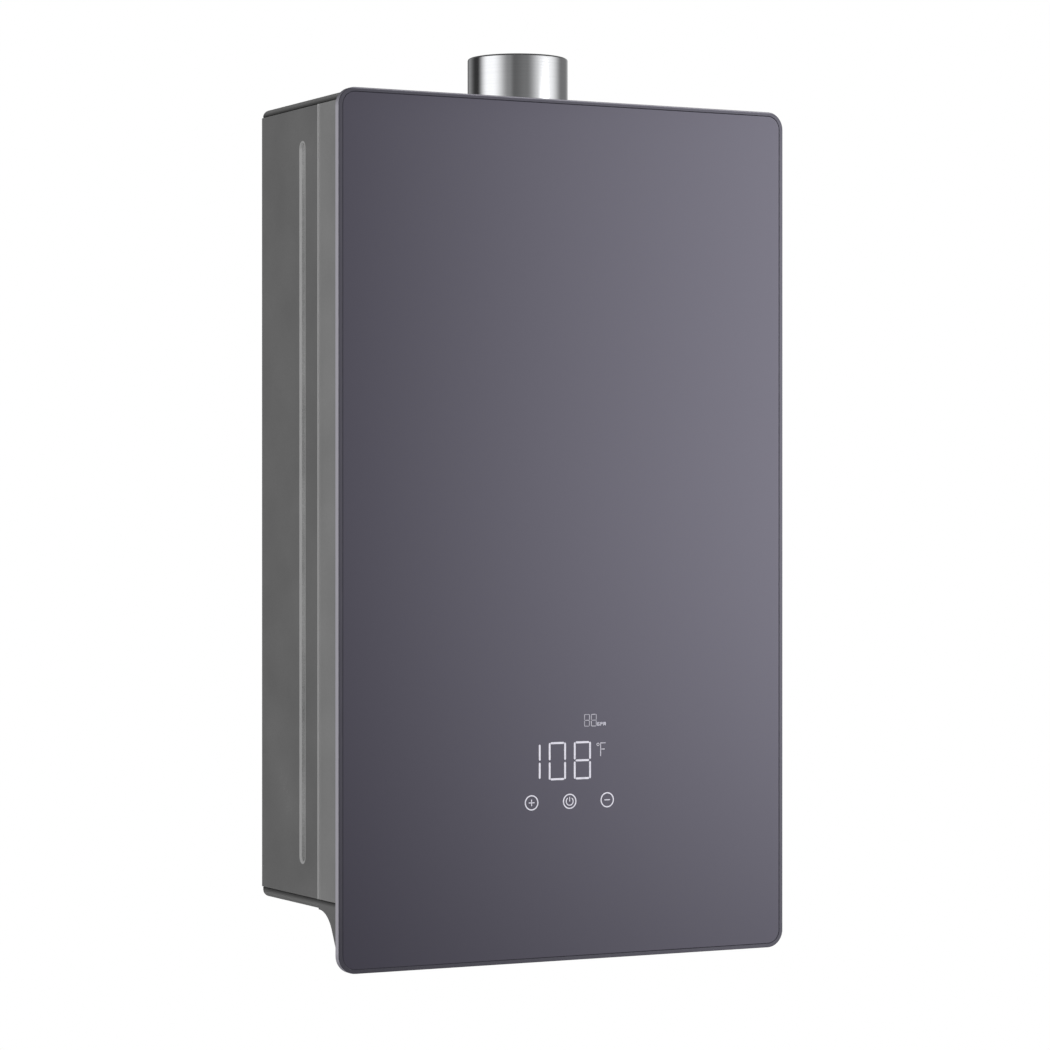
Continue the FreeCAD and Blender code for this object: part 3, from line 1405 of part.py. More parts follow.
core_low = module_mid + relay
core_high = core_low + cell("transformer_height")
core_inset = cell("transformer_height") / 4
fuse("power_transformer",
     box("transformer_core", module_x, (plate_front - cell("transformer_depth"), plate_front),
         (core_low, core_high)),
     box("transformer_winding", (module_x[0] + core_inset, module_x[1] - core_inset), module_y,
         (core_low + core_inset, core_high - core_inset)))

# Air pressure switch on the casing's back, with its diaphragm and its hose to the scroll.
switch_x = side - cell("switch_inset")
switch_z = cell("switch_height")
switch_r = cell("switch_radius")
switch_l = cell("switch_depth")
switch_t = cell("switch_wall")
nipple_l = cell("nipple_length")
turned("pressure_switch", [
    (switch_t, switch_t), (switch_r - switch_t, switch_t), (switch_r - switch_t, switch_l - switch_t),
    (cell("hose_bore"), switch_l - switch_t), (cell("hose_bore"), switch_l + nipple_l),
    (cell("hose_radius"), switch_l + nipple_l), (cell("hose_radius"), switch_l), (switch_r, switch_l),
    (switch_r, 0), (switch_t, 0),
], switch_x, inner_back, switch_z, "-Y")
rod("switch_diaphragm", "-Y", (switch_x, inner_back - switch_l / 2, switch_z), cell("diaphragm_thickness"),
    switch_r - switch_t - cell("rest_gap"))
hose_y = inner_back - switch_l - nipple_l
tap_z = fan_z + cell("hose_tap_rise")
bent_pipe("pressure_hose", [
    (switch_x, hose_y, switch_z), (switch_x, flue_y, switch_z), (switch_x / 2, flue_y, tap_z),
    (outlet_half + scroll_wall, flue_y, tap_z)], cell("hose_radius"), cell("hose_bore"), cell("hose_bend"))

# Cable gland in the floor
gland_r = cell("gland_radius")
gland_low = body_bottom - cell("gland_drop")
gland_l = cell("gland_length")
turned("cable_gland", [
    (cell("gland_bore"), 0), (gland_r, 0), (gland_r, body_bottom - gland_low),
    (gland_neck_r, body_bottom - gland_low),
    (gland_neck_r, inner_bottom - gland_low), (gland_r + hole_gap, inner_bottom - gland_low),
    (gland_r + hole_gap, gland_l), (cell("gland_bore"), gland_l),
], gland_x, fitting_y, gland_low)

NODES = [
    "rear_casing", "front_cover", "top_cap", "bottom_cap", "cap_screws", "trim_frame", "glass_panel",
    "bonding_tape", "display_holder", "display_board", "touch_pads", "flue_gasket", "flue_flange",
    "flue_collar", "backflow_flap", "flap_pin", "fan_housing", "fan_housing_cover", "fan_impeller",
    "fan_motor", "motor_bearings", "motor_shaft", "fume_hood", "exchanger_jacket", "exchanger_tubes",
    "fin_pack", "jacket_coil", "temperature_sensors", "burner_tray", "burner_blades", "gas_manifold",
    "flame_electrodes", "hot_outlet_fitting", "gas_inlet_fitting", "cold_inlet_fitting", "pipe_grommets",
    "inlet_filter", "gas_valve_body", "valve_coils", "cutoff_plunger", "cutoff_spring",
    "modulating_plunger", "modulating_spring", "gas_pipe", "flow_sensor_body", "flow_rotor", "cold_pipe",
    "hot_pipe", "drain_spigot", "drain_plug", "drain_seal", "component_plate", "control_box",
    "control_board", "ignition_module", "power_transformer", "pressure_switch", "switch_diaphragm",
    "pressure_hose", "cable_gland",
]

doc.recompute()
failed = [item.Label for item in doc.Objects if "Invalid" in item.State or "Error" in item.State]
if failed:
    raise RuntimeError("failed to build: " + ", ".join(failed))
for name in NODES:
    shape = doc.getObject(name).Shape
    if shape.isNull() or not shape.isValid() or not shape.Solids:
        raise RuntimeError(f"{name} has no valid solid")
for name in NODES:
    shape = doc.getObject(name).Shape
    shape.exportStep(f"parts/{name}.step")
    print(name, len(shape.Solids), round(shape.Volume))
print(len(NODES), "nodes")
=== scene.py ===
# %% [markdown]
# # A wall-hung gas water heater with a glass front
#
# This lesson dresses a finished solid model. The model stands in metres with its origin on the wall:
# X runs to the right seen from the front, Y runs into the wall and Z runs up. Every cell below either
# builds one visible piece of the heater, gives it a finish, or sets up the studio around it.

# %% Load the frame
import json
import math

import bmesh
import bpy
from mathutils import Matrix, Vector


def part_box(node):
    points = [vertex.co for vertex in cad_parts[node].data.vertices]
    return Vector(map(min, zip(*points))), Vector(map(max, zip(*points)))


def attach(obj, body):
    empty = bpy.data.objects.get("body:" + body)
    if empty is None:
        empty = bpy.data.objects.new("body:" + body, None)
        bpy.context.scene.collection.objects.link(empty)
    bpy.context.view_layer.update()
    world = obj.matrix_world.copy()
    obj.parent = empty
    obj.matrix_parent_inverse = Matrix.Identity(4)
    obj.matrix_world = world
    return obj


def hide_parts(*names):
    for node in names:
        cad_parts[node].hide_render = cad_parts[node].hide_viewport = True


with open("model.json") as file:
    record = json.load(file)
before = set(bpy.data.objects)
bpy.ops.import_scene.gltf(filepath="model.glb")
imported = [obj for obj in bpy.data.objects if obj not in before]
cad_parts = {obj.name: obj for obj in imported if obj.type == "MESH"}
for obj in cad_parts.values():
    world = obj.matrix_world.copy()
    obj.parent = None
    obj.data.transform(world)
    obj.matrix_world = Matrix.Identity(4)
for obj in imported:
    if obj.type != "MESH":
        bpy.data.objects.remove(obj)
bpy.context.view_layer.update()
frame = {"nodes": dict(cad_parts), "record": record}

MM = 0.001
scene = bpy.context.scene

# %% [markdown]
# ## The camera
#
# The photograph was taken from the left of the heater with a long lens, level with its middle. The
# distance, turn and lens below were worked out from the straight edges of the glass and of the casing.
# A camera looks down its own -Z, so it is first tipped up by a right angle and then turned.

# %% Camera at the photograph's place
CAMERA_PLACE = (-1.24159, -2.46934, -0.0120)
CAMERA_TURN = math.radians(-27.4288)
CAMERA_TILT = math.radians(90 - 0.0906)
SENSOR_WIDTH = 36
LENS = 121.99

camera_data = bpy.data.cameras.new("camera")
camera_data.sensor_width = SENSOR_WIDTH
camera_data.lens = LENS
camera = bpy.data.objects.new("camera", camera_data)
camera.location = CAMERA_PLACE
camera.rotation_euler = (CAMERA_TILT, 0, CAMERA_TURN)
scene.collection.objects.link(camera)
scene.camera = camera
scene.view_settings.view_transform = "Standard"
print("camera", CAMERA_PLACE, "lens", LENS)

# %% [markdown]
# ## The floor and the world
#
# The photograph has a plain white ground with nothing on it, because the heater hangs well above the
# floor. The floor here lies as far below as in a room. It is pale, keeps the heater's shadow, and fades
# out beyond it, so that no horizon cuts the picture. It is open from below, so that the underside can
# be looked at, and it throws little light back up, as the dark underside in the photograph shows. The
# world is white wherever a camera or a glass looks at it. Where it is mirrored or only lights matt
# surfaces it is darker below the horizon than above.

# %% Helpers for node trees


def link(tree, source, socket):
    """Joins two sockets of a node tree."""
    tree.links.new(source, socket)


def node(tree, kind, **settings):
    """A new node with its settings."""
    item = tree.nodes.new("ShaderNode" + kind)
    for word, value in settings.items():
        setattr(item, word, value)
    return item


def math_node(tree, operation, first, second=0):
    """A Math node on two sockets or numbers. An operation on one value leaves the second out."""
    item = node(tree, "Math", operation=operation)
    for socket, value in zip(item.inputs, (first, second)):
        if isinstance(value, (int, float)):
            socket.default_value = value
        else:
            link(tree, value, socket)
    return item.outputs[0]


def smooth_step(tree, value, low, high):
    """Rises softly from 0 to 1 between two values."""
    item = node(tree, "MapRange", interpolation_type="SMOOTHSTEP")
    item.inputs["From Min"].default_value = low
    item.inputs["From Max"].default_value = high
    link(tree, value, item.inputs["Value"])
    return item.outputs["Result"]


def inverse(tree, value):
    """What a value leaves of 1."""
    return math_node(tree, "SUBTRACT", 1, value)


def object_place(tree):
    """Object coordinates, which are the model's own metres."""
    return node(tree, "TexCoord").outputs["Object"]


def axes_of(tree, place):
    """The X, Y and Z of a place, each as a socket."""
    item = node(tree, "SeparateXYZ")
    link(tree, place, item.inputs[0])
    return item.outputs


print("node helpers ready")

# %% World
WORLD_FILL = 0.46
WORLD_BELOW = 0.08
MIRROR_BELOW = 0.25
HORIZON = (-0.7, 0.0)

world = bpy.data.worlds.new("studio_air")
scene.world = world
world.use_nodes = True
tree = world.node_tree
background = tree.nodes["Background"]
background.inputs["Color"].default_value = (1, 1, 1, 1)
rays = node(tree, "LightPath")
seen = math_node(tree, "MAXIMUM", rays.outputs["Is Camera Ray"], rays.outputs["Is Transmission Ray"])
compass = axes_of(tree, node(tree, "TexCoord").outputs["Generated"])
upward = smooth_step(tree, compass["Z"], *HORIZON)
mirrored = math_node(tree, "MULTIPLY", upward, 1 - MIRROR_BELOW)
mirrored = math_node(tree, "ADD", mirrored, MIRROR_BELOW)
mirrored = math_node(tree, "MULTIPLY", mirrored, rays.outputs["Is Glossy Ray"])
seen = math_node(tree, "MAXIMUM", seen, mirrored)
fill = math_node(tree, "MULTIPLY", upward, WORLD_FILL - WORLD_BELOW)
fill = math_node(tree, "ADD", fill, WORLD_BELOW)
link(tree, math_node(tree, "MAXIMUM", seen, fill), background.inputs["Strength"])
print("world fill", WORLD_FILL)

# %% Floor
FLOOR_LEVEL = -1.25
FLOOR_REACH = 5.0
FLOOR_FADE = (0.6, 2.2)
FLOOR_SHOWN = 0.86
FLOOR_BOUNCE = 0.4


def stage_mesh(name, bm, material):
    """A mesh that belongs to the studio and not to the heater."""
    mesh = bpy.data.meshes.new(name)
    bm.to_mesh(mesh)
    bm.free()
    mesh.materials.append(material)
    item = bpy.data.objects.new(name, mesh)
    scene.collection.objects.link(item)
    return item


floor_paper = bpy.data.materials.new("floor_paper")
floor_paper.use_nodes = True
tree = floor_paper.node_tree
shader = tree.nodes["Principled BSDF"]
rays = node(tree, "LightPath")
paper = node(tree, "Mix", data_type="RGBA")
link(tree, rays.outputs["Is Diffuse Ray"], paper.inputs["Factor"])
paper.inputs["A"].default_value = [FLOOR_SHOWN] * 3 + [1]
paper.inputs["B"].default_value = [FLOOR_BOUNCE] * 3 + [1]
link(tree, paper.outputs["Result"], shader.inputs["Base Color"])
shader.inputs["Roughness"].default_value = 0.9
shader.inputs["Specular IOR Level"].default_value = 0.1
level_place = node(tree, "VectorMath", operation="MULTIPLY")
level_place.inputs[1].default_value = (1, 1, 0)
link(tree, object_place(tree), level_place.inputs[0])
reach = node(tree, "VectorMath", operation="LENGTH")
link(tree, level_place.outputs[0], reach.inputs[0])
fade = smooth_step(tree, reach.outputs["Value"], *FLOOR_FADE)
fade = math_node(tree, "MAXIMUM", fade, node(tree, "NewGeometry").outputs["Backfacing"])
gone = node(tree, "BsdfTransparent")
blend = node(tree, "MixShader")
link(tree, fade, blend.inputs[0])
link(tree, shader.outputs[0], blend.inputs[1])
link(tree, gone.outputs[0], blend.inputs[2])
link(tree, blend.outputs[0], tree.nodes["Material Output"].inputs["Surface"])

bm = bmesh.new()
bmesh.ops.create_circle(bm, cap_ends=True, segments=96, radius=FLOOR_REACH,
                        matrix=Matrix.Translation((0, 0, FLOOR_LEVEL)))
stage_mesh("floor", bm, floor_paper)
print("floor at", FLOOR_LEVEL)

# %% [markdown]
# ## Soft lamps
#
# Three large soft lamps light the heater at a plain level: one straight from the left for the casing's
# side, one from the front right for the glass, and a weak one from above. A lamp's power is worked out
# from the level wanted, because light falls with the square of the distance.

# %% Lamps
LAMP_CENTRE = Vector((0, -0.07, 0))


def soft_lamp(name, bearing, height, distance, width, tall, level):
    """A rectangular lamp on a bearing round the heater: 0 is straight ahead, 90 is to the right."""
    turn = math.radians(bearing)
    place = LAMP_CENTRE + Vector((math.sin(turn) * distance, -math.cos(turn) * distance, height))
    data = bpy.data.lights.new(name, "AREA")
    data.shape = "RECTANGLE"
    data.size = width
    data.size_y = tall
    data.energy = level * math.pi ** 2 * (place - LAMP_CENTRE).length_squared
    item = bpy.data.objects.new(name, data)
    item.location = place
    item.rotation_euler = (LAMP_CENTRE - place).to_track_quat("-Z", "Y").to_euler()
    item.visible_glossy = False
    scene.collection.objects.link(item)
    return item


soft_lamp("side_lamp", bearing=-78, height=0.3, distance=2.6, width=1.2, tall=2.4, level=0.62)
soft_lamp("front_lamp", bearing=38, height=0.5, distance=2.8, width=1.8, tall=2.2, level=0.55)
soft_lamp("top_lamp", bearing=10, height=2.6, distance=0.9, width=1.6, tall=1.6, level=0.3)

# %% [markdown]
# ## What polished things see
#
# A polished flue is all reflection: its white bands are soft boxes and its dark bands are the gaps
# between them. A ring of studio wall stands round the set for this, under a dark ceiling. Only
# mirror-like rays meet it. Its brightness follows the bearing by a ramp of soft boxes and gaps, and
# drops towards the floor. One more soft box stands where the glass mirrors it. It is bright towards the
# right, which gives the glass its even rise from left to right, and too low for the flue to see.

# %% Brightness round the studio wall
WALL_RISE = (-1.64, 0.12)
WALL_SCALE = 2.0
BOX_TOP = (0.668, 0.684)
BOX_TURNS = (47 / 360 + 0.5, 70 / 360 + 0.5)
BOX_ENDS = (70 / 360 + 0.5, 78 / 360 + 0.5)
BOX_LEVEL = 3.9
VIEW_BEARING = -117.4288
# Where each part of the ring begins and ends, as turns from the camera's side in degrees, and its
# brightness. Between two parts the brightness eases over, as at the soft edge of a box.
WALL_PARTS = {
    "dark rear": (-180, -170, 0.03),
    "dim strip": (-148, -148, 0.35),
    "left gap": (-112, -104, 0.05),
    "left box": (-71, -58, 1.6),
    "left spill": (-19, -19, 0.35),
    "front gap": (-6, -6, 0.17),
    "front spill": (20, 20, 0.25),
    "right box": (66, 75, 1.45),
    "right gap": (118, 138, 0.25),
    "rear glow": (176, 180, 0.7),
}


def glow_only(name):
    """A material that only gives light, with its tree and its Emission node."""
    material = bpy.data.materials.new(name)
    material.use_nodes = True
    tree = material.node_tree
    tree.nodes.remove(tree.nodes["Principled BSDF"])
    glow = node(tree, "Emission")
    link(tree, glow.outputs[0], tree.nodes["Material Output"].inputs["Surface"])
    return material, tree, glow


wall_glow, tree, glow = glow_only("wall_glow")
spot = object_place(tree)
turned = node(tree, "Mapping", vector_type="TEXTURE")
turned.inputs["Rotation"].default_value = (0, 0, math.radians(VIEW_BEARING))
link(tree, spot, turned.inputs["Vector"])
round_about = node(tree, "TexGradient", gradient_type="RADIAL")
link(tree, turned.outputs[0], round_about.inputs["Vector"])
bands = node(tree, "ValToRGB")
ramp = bands.color_ramp
ramp.interpolation = "EASE"
for start, end, level in WALL_PARTS.values():
    for turn in sorted({start, end}):
        # The ramp comes with a stop at either end
        place = turn / 360 + 0.5
        stop = {0: ramp.elements[0], 1: ramp.elements[-1]}.get(place) or ramp.elements.new(place)
        stop.color = [level / WALL_SCALE] * 3 + [1]
link(tree, round_about.outputs["Color"], bands.inputs["Fac"])
height = axes_of(tree, spot)["Z"]
lift = smooth_step(tree, height, *WALL_RISE)
above_box = smooth_step(tree, height, *BOX_TOP)
box_rise = node(tree, "MapRange")
box_rise.inputs["From Min"].default_value, box_rise.inputs["From Max"].default_value = BOX_TURNS
box_rise.inputs["To Max"].default_value = BOX_LEVEL
link(tree, round_about.outputs["Fac"], box_rise.inputs["Value"])
past_box = smooth_step(tree, round_about.outputs["Fac"], *BOX_ENDS)
within = inverse(tree, math_node(tree, "MAXIMUM", above_box, past_box))
soft_box = math_node(tree, "MULTIPLY", box_rise.outputs["Result"], within)
levels = math_node(tree, "MULTIPLY", bands.outputs["Color"], WALL_SCALE)
levels = math_node(tree, "ADD", levels, soft_box)
link(tree, math_node(tree, "MULTIPLY", levels, lift), glow.inputs["Strength"])
print("wall parts", len(WALL_PARTS))

# %% [markdown]
# The wall is a circle of edges drawn up into a tube, and the ceiling is the same circle filled.

# %% Studio wall and ceiling
WALL_RADIUS = 3.2
WALL_LOW = FLOOR_LEVEL
WALL_HIGH = 1.6
CEILING_LEVEL = 0.12

ceiling_dark, tree, glow = glow_only("ceiling_dark")
glow.inputs["Strength"].default_value = CEILING_LEVEL

bm = bmesh.new()
bmesh.ops.create_circle(bm, segments=128, radius=WALL_RADIUS,
                        matrix=Matrix.Translation((0, 0, WALL_LOW)))
grown = bmesh.ops.extrude_edge_only(bm, edges=bm.edges)
bmesh.ops.translate(bm, vec=(0, 0, WALL_HIGH - WALL_LOW),
                    verts=[item for item in grown["geom"] if isinstance(item, bmesh.types.BMVert)])
studio_wall = stage_mesh("studio_wall", bm, wall_glow)
bm = bmesh.new()
bmesh.ops.create_circle(bm, cap_ends=True, segments=128, radius=WALL_RADIUS,
                        matrix=Matrix.Translation((0, 0, WALL_HIGH)))
studio_ceiling = stage_mesh("studio_ceiling", bm, ceiling_dark)
for item in (studio_wall, studio_ceiling):
    item.visible_camera = False
    item.visible_diffuse = False
    item.visible_shadow = False
    item.visible_transmission = False
print("wall and ceiling up to", WALL_HIGH)

# %% [markdown]
# ## Finishes
#
# Every finish is a small node tree that reads Object coordinates, so that grain keeps its real size in
# metres. The helpers below do the parts that all of them share: a noise at a scale, two tones mixed by
# it, and a bump. What is the same all over a surface stays a plain number on the shader.

# %% Helpers for finishes
finishes = {}


def tone(code):
    """A colour written as in a paint program, as the linear values that the shader takes."""
    channels = [int(code[n:n + 2], 16) / 255 for n in (1, 3, 5)]
    return [c / 12.92 if c <= 0.04045 else ((c + 0.055) / 1.055) ** 2.4 for c in channels] + [1]


def new_finish(slot, roughness, metallic=0.0, specular=0.5):
    """A material with a plain shader, and the Object coordinates that its grain reads."""
    material = bpy.data.materials.new(slot)
    material.use_nodes = True
    finishes[slot] = material
    tree = material.node_tree
    shader = tree.nodes["Principled BSDF"]
    shader.inputs["Roughness"].default_value = roughness
    shader.inputs["Metallic"].default_value = metallic
    shader.inputs["Specular IOR Level"].default_value = specular
    return tree, shader, object_place(tree)


def grain(tree, place, size, detail=3.0, stretch=(1, 1, 1)):
    """Noise whose spots are about this size in metres, drawn out along an axis by a stretch."""
    mapping = node(tree, "Mapping")
    mapping.inputs["Scale"].default_value = [1 / (size * s) for s in stretch]
    link(tree, place, mapping.inputs["Vector"])
    noise = node(tree, "TexNoise")
    noise.inputs["Scale"].default_value = 1.0
    noise.inputs["Detail"].default_value = detail
    link(tree, mapping.outputs[0], noise.inputs["Vector"])
    return noise.outputs["Fac"]


def two_tones(tree, shader, factor, dark, light, low=0.3, high=0.7):
    """The base colour: two tones mixed by a noise."""
    ramp = node(tree, "ValToRGB")
    ramp.color_ramp.elements[0].position = low
    ramp.color_ramp.elements[0].color = tone(dark)
    ramp.color_ramp.elements[1].position = high
    ramp.color_ramp.elements[1].color = tone(light)
    link(tree, factor, ramp.inputs["Fac"])
    link(tree, ramp.outputs["Color"], shader.inputs["Base Color"])
    return ramp.color_ramp


def relief(tree, shader, factor, height, strength):
    """A bump of a real height in metres, at a share of its full strength."""
    bump = node(tree, "Bump")
    bump.inputs["Strength"].default_value = strength
    bump.inputs["Distance"].default_value = height
    link(tree, factor, bump.inputs["Height"])
    link(tree, bump.outputs["Normal"], shader.inputs["Normal"])


def sheen_range(tree, shader, factor, low, high):
    """Roughness that wanders between two values."""
    spread = node(tree, "MapRange")
    spread.inputs["To Min"].default_value = low
    spread.inputs["To Max"].default_value = high
    link(tree, factor, spread.inputs["Value"])
    link(tree, spread.outputs["Result"], shader.inputs["Roughness"])


print("finish helpers ready")

# %% [markdown]
# ### Powder paint
#
# The casing, the front cover and the two end caps are the same grey powder paint, a little lighter on
# the cover. Powder paint has a fine orange peel and a faint cloudiness from the spray, so one noise is
# as fine as the grain and another is some centimetres wide. A painted highlight makes it lighter on the
# hem of the casing and on the lips and in the groove of its stiffening bead. A distance to the bead's
# outline, worked out from Object coordinates, finds those lips. Painted shade darkens the caps along
# their seams with the casing and on the round under the bottom cap.

# %% Where highlight and shade are painted on the paint
BEAD_DEPTH_PLACE = -77 * MM
BEAD_MIDDLE = 0.25 * MM
BEAD_HALF_STRAIGHT = 259.65 * MM
BEAD_RADIUS = 4.5 * MM
LIP_REACH = (0.5 * MM, 1.4 * MM)
GROOVE_SHARE = 0.3
HEM_STANDS = (184.05 * MM, 184.35 * MM)
TOP_SEAM = 290.2 * MM
LOWER_SEAM = -288.5 * MM
SEAM_SHADE_REACH = (0.2 * MM, 3.6 * MM)
UNDER_ROUND = (3.0 * MM, 5.8 * MM)
UNDER_FLAT = (6.8 * MM, 6.98 * MM)
UNDER_FRONT = -107 * MM
UNDER_SHARE = 0.6
COVER_HEM = (-108.9 * MM, -107.5 * MM)


def painted_hem_and_bead_highlight(tree, place):
    """Painted highlight: 1 on the hem and the bead's lips, less in the bead, else 0."""
    axes = axes_of(tree, place)
    hem = smooth_step(tree, math_node(tree, "ABSOLUTE", axes["X"]), *HEM_STANDS)
    across = math_node(tree, "SUBTRACT", axes["Y"], BEAD_DEPTH_PLACE)
    along = math_node(tree, "ABSOLUTE", math_node(tree, "SUBTRACT", axes["Z"], BEAD_MIDDLE))
    beyond = math_node(tree, "MAXIMUM", math_node(tree, "SUBTRACT", along, BEAD_HALF_STRAIGHT), 0)
    squares = math_node(tree, "ADD", math_node(tree, "MULTIPLY", across, across),
                        math_node(tree, "MULTIPLY", beyond, beyond))
    from_lip = math_node(tree, "SUBTRACT", math_node(tree, "SQRT", squares), BEAD_RADIUS)
    off_lip = smooth_step(tree, math_node(tree, "ABSOLUTE", from_lip), *LIP_REACH)
    groove = math_node(tree, "MULTIPLY", math_node(tree, "LESS_THAN", from_lip, 0), GROOVE_SHARE)
    bead = math_node(tree, "MAXIMUM", groove, inverse(tree, off_lip))
    return math_node(tree, "MAXIMUM", hem, bead)


def seam_and_under_shade(tree, place):
    """Painted shade on the caps: 1 at the seam with the casing, fading away from it.

    Some more painted shade lies on the round under the bottom cap's sides.
    """
    axes = axes_of(tree, place)
    over = math_node(tree, "SUBTRACT", axes["Z"], (TOP_SEAM + LOWER_SEAM) / 2)
    over = math_node(tree, "ABSOLUTE", over)
    from_seam = math_node(tree, "SUBTRACT", over, (TOP_SEAM - LOWER_SEAM) / 2)
    at_seam = inverse(tree, smooth_step(tree, from_seam, *SEAM_SHADE_REACH))
    on_flat = smooth_step(tree, from_seam, *UNDER_FLAT)
    on_round = math_node(tree, "SUBTRACT", smooth_step(tree, from_seam, *UNDER_ROUND), on_flat)
    below = math_node(tree, "LESS_THAN", axes["Z"], 0)
    behind = math_node(tree, "GREATER_THAN", axes["Y"], UNDER_FRONT)
    under = math_node(tree, "MULTIPLY", math_node(tree, "MULTIPLY", below, behind), UNDER_SHARE)
    return math_node(tree, "MAXIMUM", at_seam, math_node(tree, "MULTIPLY", on_round, under))


def cover_hem_highlight(tree, place):
    """Painted highlight along the cover's rear edge: 1 there, 0 elsewhere."""
    return smooth_step(tree, axes_of(tree, place)["Y"], *COVER_HEM)


print("bead at", BEAD_DEPTH_PLACE, "seams at", TOP_SEAM, LOWER_SEAM)

# %% Powder paints
CLOUD_SIZE = 60 * MM
PEEL_SIZE = 0.9 * MM
PEEL_HEIGHT = 0.06 * MM
CLOUD_SHARE = 0.6
POWDER_ROUGHNESS = 0.46
SHEEN_SPREAD = 0.05


def powder_paint(slot, dark, light, highlight_tone=None, where=None, shade_tone=None):
    """Cloudy grey paint with fine orange peel, lighter where a highlight is painted, darker where shade
    is painted.
    """
    tree, shader, place = new_finish(slot, POWDER_ROUGHNESS, specular=0.4)
    cloud = grain(tree, place, CLOUD_SIZE, detail=4.0)
    peel = grain(tree, place, PEEL_SIZE, detail=2.0)
    mixed = math_node(tree, "ADD", math_node(tree, "MULTIPLY", cloud, CLOUD_SHARE),
                      math_node(tree, "MULTIPLY", peel, 1 - CLOUD_SHARE))
    # A painted highlight: the mask pushes the tone towards the light one
    if highlight_tone:
        mixed = math_node(tree, "ADD", mixed, where(tree, place))
    ramp = two_tones(tree, shader, mixed, dark, light, 0.35, 0.65)
    if highlight_tone:
        ramp.elements.new(1.0).color = tone(highlight_tone)
    # Painted shade: the caps are darker at their seams and under the bottom cap
    if shade_tone:
        shade_mix = node(tree, "Mix", data_type="RGBA", blend_type="MULTIPLY")
        link(tree, seam_and_under_shade(tree, place), shade_mix.inputs["Factor"])
        link(tree, shader.inputs["Base Color"].links[0].from_socket, shade_mix.inputs["A"])
        shade_mix.inputs["B"].default_value = tone(shade_tone)
        link(tree, shade_mix.outputs["Result"], shader.inputs["Base Color"])
    relief(tree, shader, peel, PEEL_HEIGHT, 0.5)
    sheen_range(tree, shader, cloud, POWDER_ROUGHNESS - SHEEN_SPREAD, POWDER_ROUGHNESS + SHEEN_SPREAD)


# The light tone on the casing's hem and bead lips is a painted highlight
powder_paint("casing_paint", "#5a5a5a", "#646464", highlight_tone="#969696", where=painted_hem_and_bead_highlight)
# The light tone at the cover's rear edge is a painted highlight
powder_paint("cover_paint", "#707070", "#7a7a7a", highlight_tone="#8f8f8f", where=cover_hem_highlight)
# The darker tone on the caps is painted shade at the seams and under the bottom cap
powder_paint("cap_paint", "#5a5a5a", "#646464", shade_tone="#8c8c8c")
print("paints", sorted(finishes))

# %% [markdown]
# ### The glass and its trim
#
# The front is glass with a violet grey layer printed on its back, so it looks like a dark glossy sheet,
# and what it mirrors takes the same tint. One surface does both here: a dark base with a tinted shine,
# so that no light has to travel through the pane. The trim round it is anodised aluminium. Its narrow
# front lip is polished as dark as the glass. Its sides are satin and much lighter, partly by that
# finish and partly by a painted highlight, so the tone follows the depth behind the front. Round the
# corners this lighter tone fades. Along the top a painted highlight comes round to the front.

# %% Glass and trim
GLASS_TINT = (0.86, 0.83, 1.0, 1)
GLASS_INDEX = 1.6
SPECK_SIZE = 0.4 * MM
TRIM_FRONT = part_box("trim_frame")[0].y
SATIN_AND_HIGHLIGHT_BEHIND = (0.3 * MM, 1.1 * MM)
TRIM_MIDDLE = -20 * MM
CORNER_REACH = (303 * MM, 314 * MM)
CORNER_LOSS = 0.7
TRIM_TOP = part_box("trim_frame")[1].z
TOP_HIGHLIGHT_REACH = (1.3 * MM, 0.3 * MM)
TOP_HIGHLIGHT_SHARE = 0.55
DRAWN_SIZE = 0.5 * MM
DRAWN_SHARE = 0.1

tree, shader, place = new_finish("panel_glass", 0.07)
speck = grain(tree, place, SPECK_SIZE, detail=1.0)
two_tones(tree, shader, speck, "#2e2c36", "#302e38", 0.2, 0.8)
shader.inputs["IOR"].default_value = GLASS_INDEX
shader.inputs["Specular Tint"].default_value = GLASS_TINT

tree, shader, place = new_finish("trim_metal", 0.3, metallic=0.3)
shader.inputs["Specular Tint"].default_value = GLASS_TINT
drawn = grain(tree, place, DRAWN_SIZE, detail=2.0, stretch=(1, 1, 60))
axes = axes_of(tree, place)
# The lighter tone of the sides is the satin finish together with a painted highlight
behind = smooth_step(tree, axes["Y"], *[TRIM_FRONT + depth for depth in SATIN_AND_HIGHLIGHT_BEHIND])
from_middle = math_node(tree, "ABSOLUTE", math_node(tree, "SUBTRACT", axes["Z"], TRIM_MIDDLE))
round_corner = smooth_step(tree, from_middle, *CORNER_REACH)
kept = inverse(tree, math_node(tree, "MULTIPLY", round_corner, CORNER_LOSS))
side_satin_and_top_highlight = math_node(tree, "MULTIPLY", behind, kept)
# Along the top the lighter tone is a painted highlight
top_highlight = smooth_step(tree, axes["Z"], *[TRIM_TOP - below for below in TOP_HIGHLIGHT_REACH])
side_satin_and_top_highlight = math_node(tree, "MAXIMUM", side_satin_and_top_highlight, math_node(tree, "MULTIPLY", top_highlight, TOP_HIGHLIGHT_SHARE))
satin_and_highlight = math_node(tree, "ADD", math_node(tree, "MULTIPLY", side_satin_and_top_highlight, 1 - DRAWN_SHARE),
                  math_node(tree, "MULTIPLY", drawn, DRAWN_SHARE))
two_tones(tree, shader, satin_and_highlight, "#3e3d44", "#b1afb8", 0.05, 0.95)
sheen_range(tree, shader, satin_and_highlight, 0.12, 0.4)
print("glass and trim done")

# %% [markdown]
# ### Metals
#
# The flue collar is polished stainless steel that was spun on a former, so it has hair-fine rings round
# its axis. Inside the casing there is pressed zinc-coated sheet, turned steel, copper tube that has
# dulled in patches, brass fittings and die-cast aluminium. The connections under the floor carry a
# half-inch pipe thread, whose flanks rise and fall once in 1.814 mm.

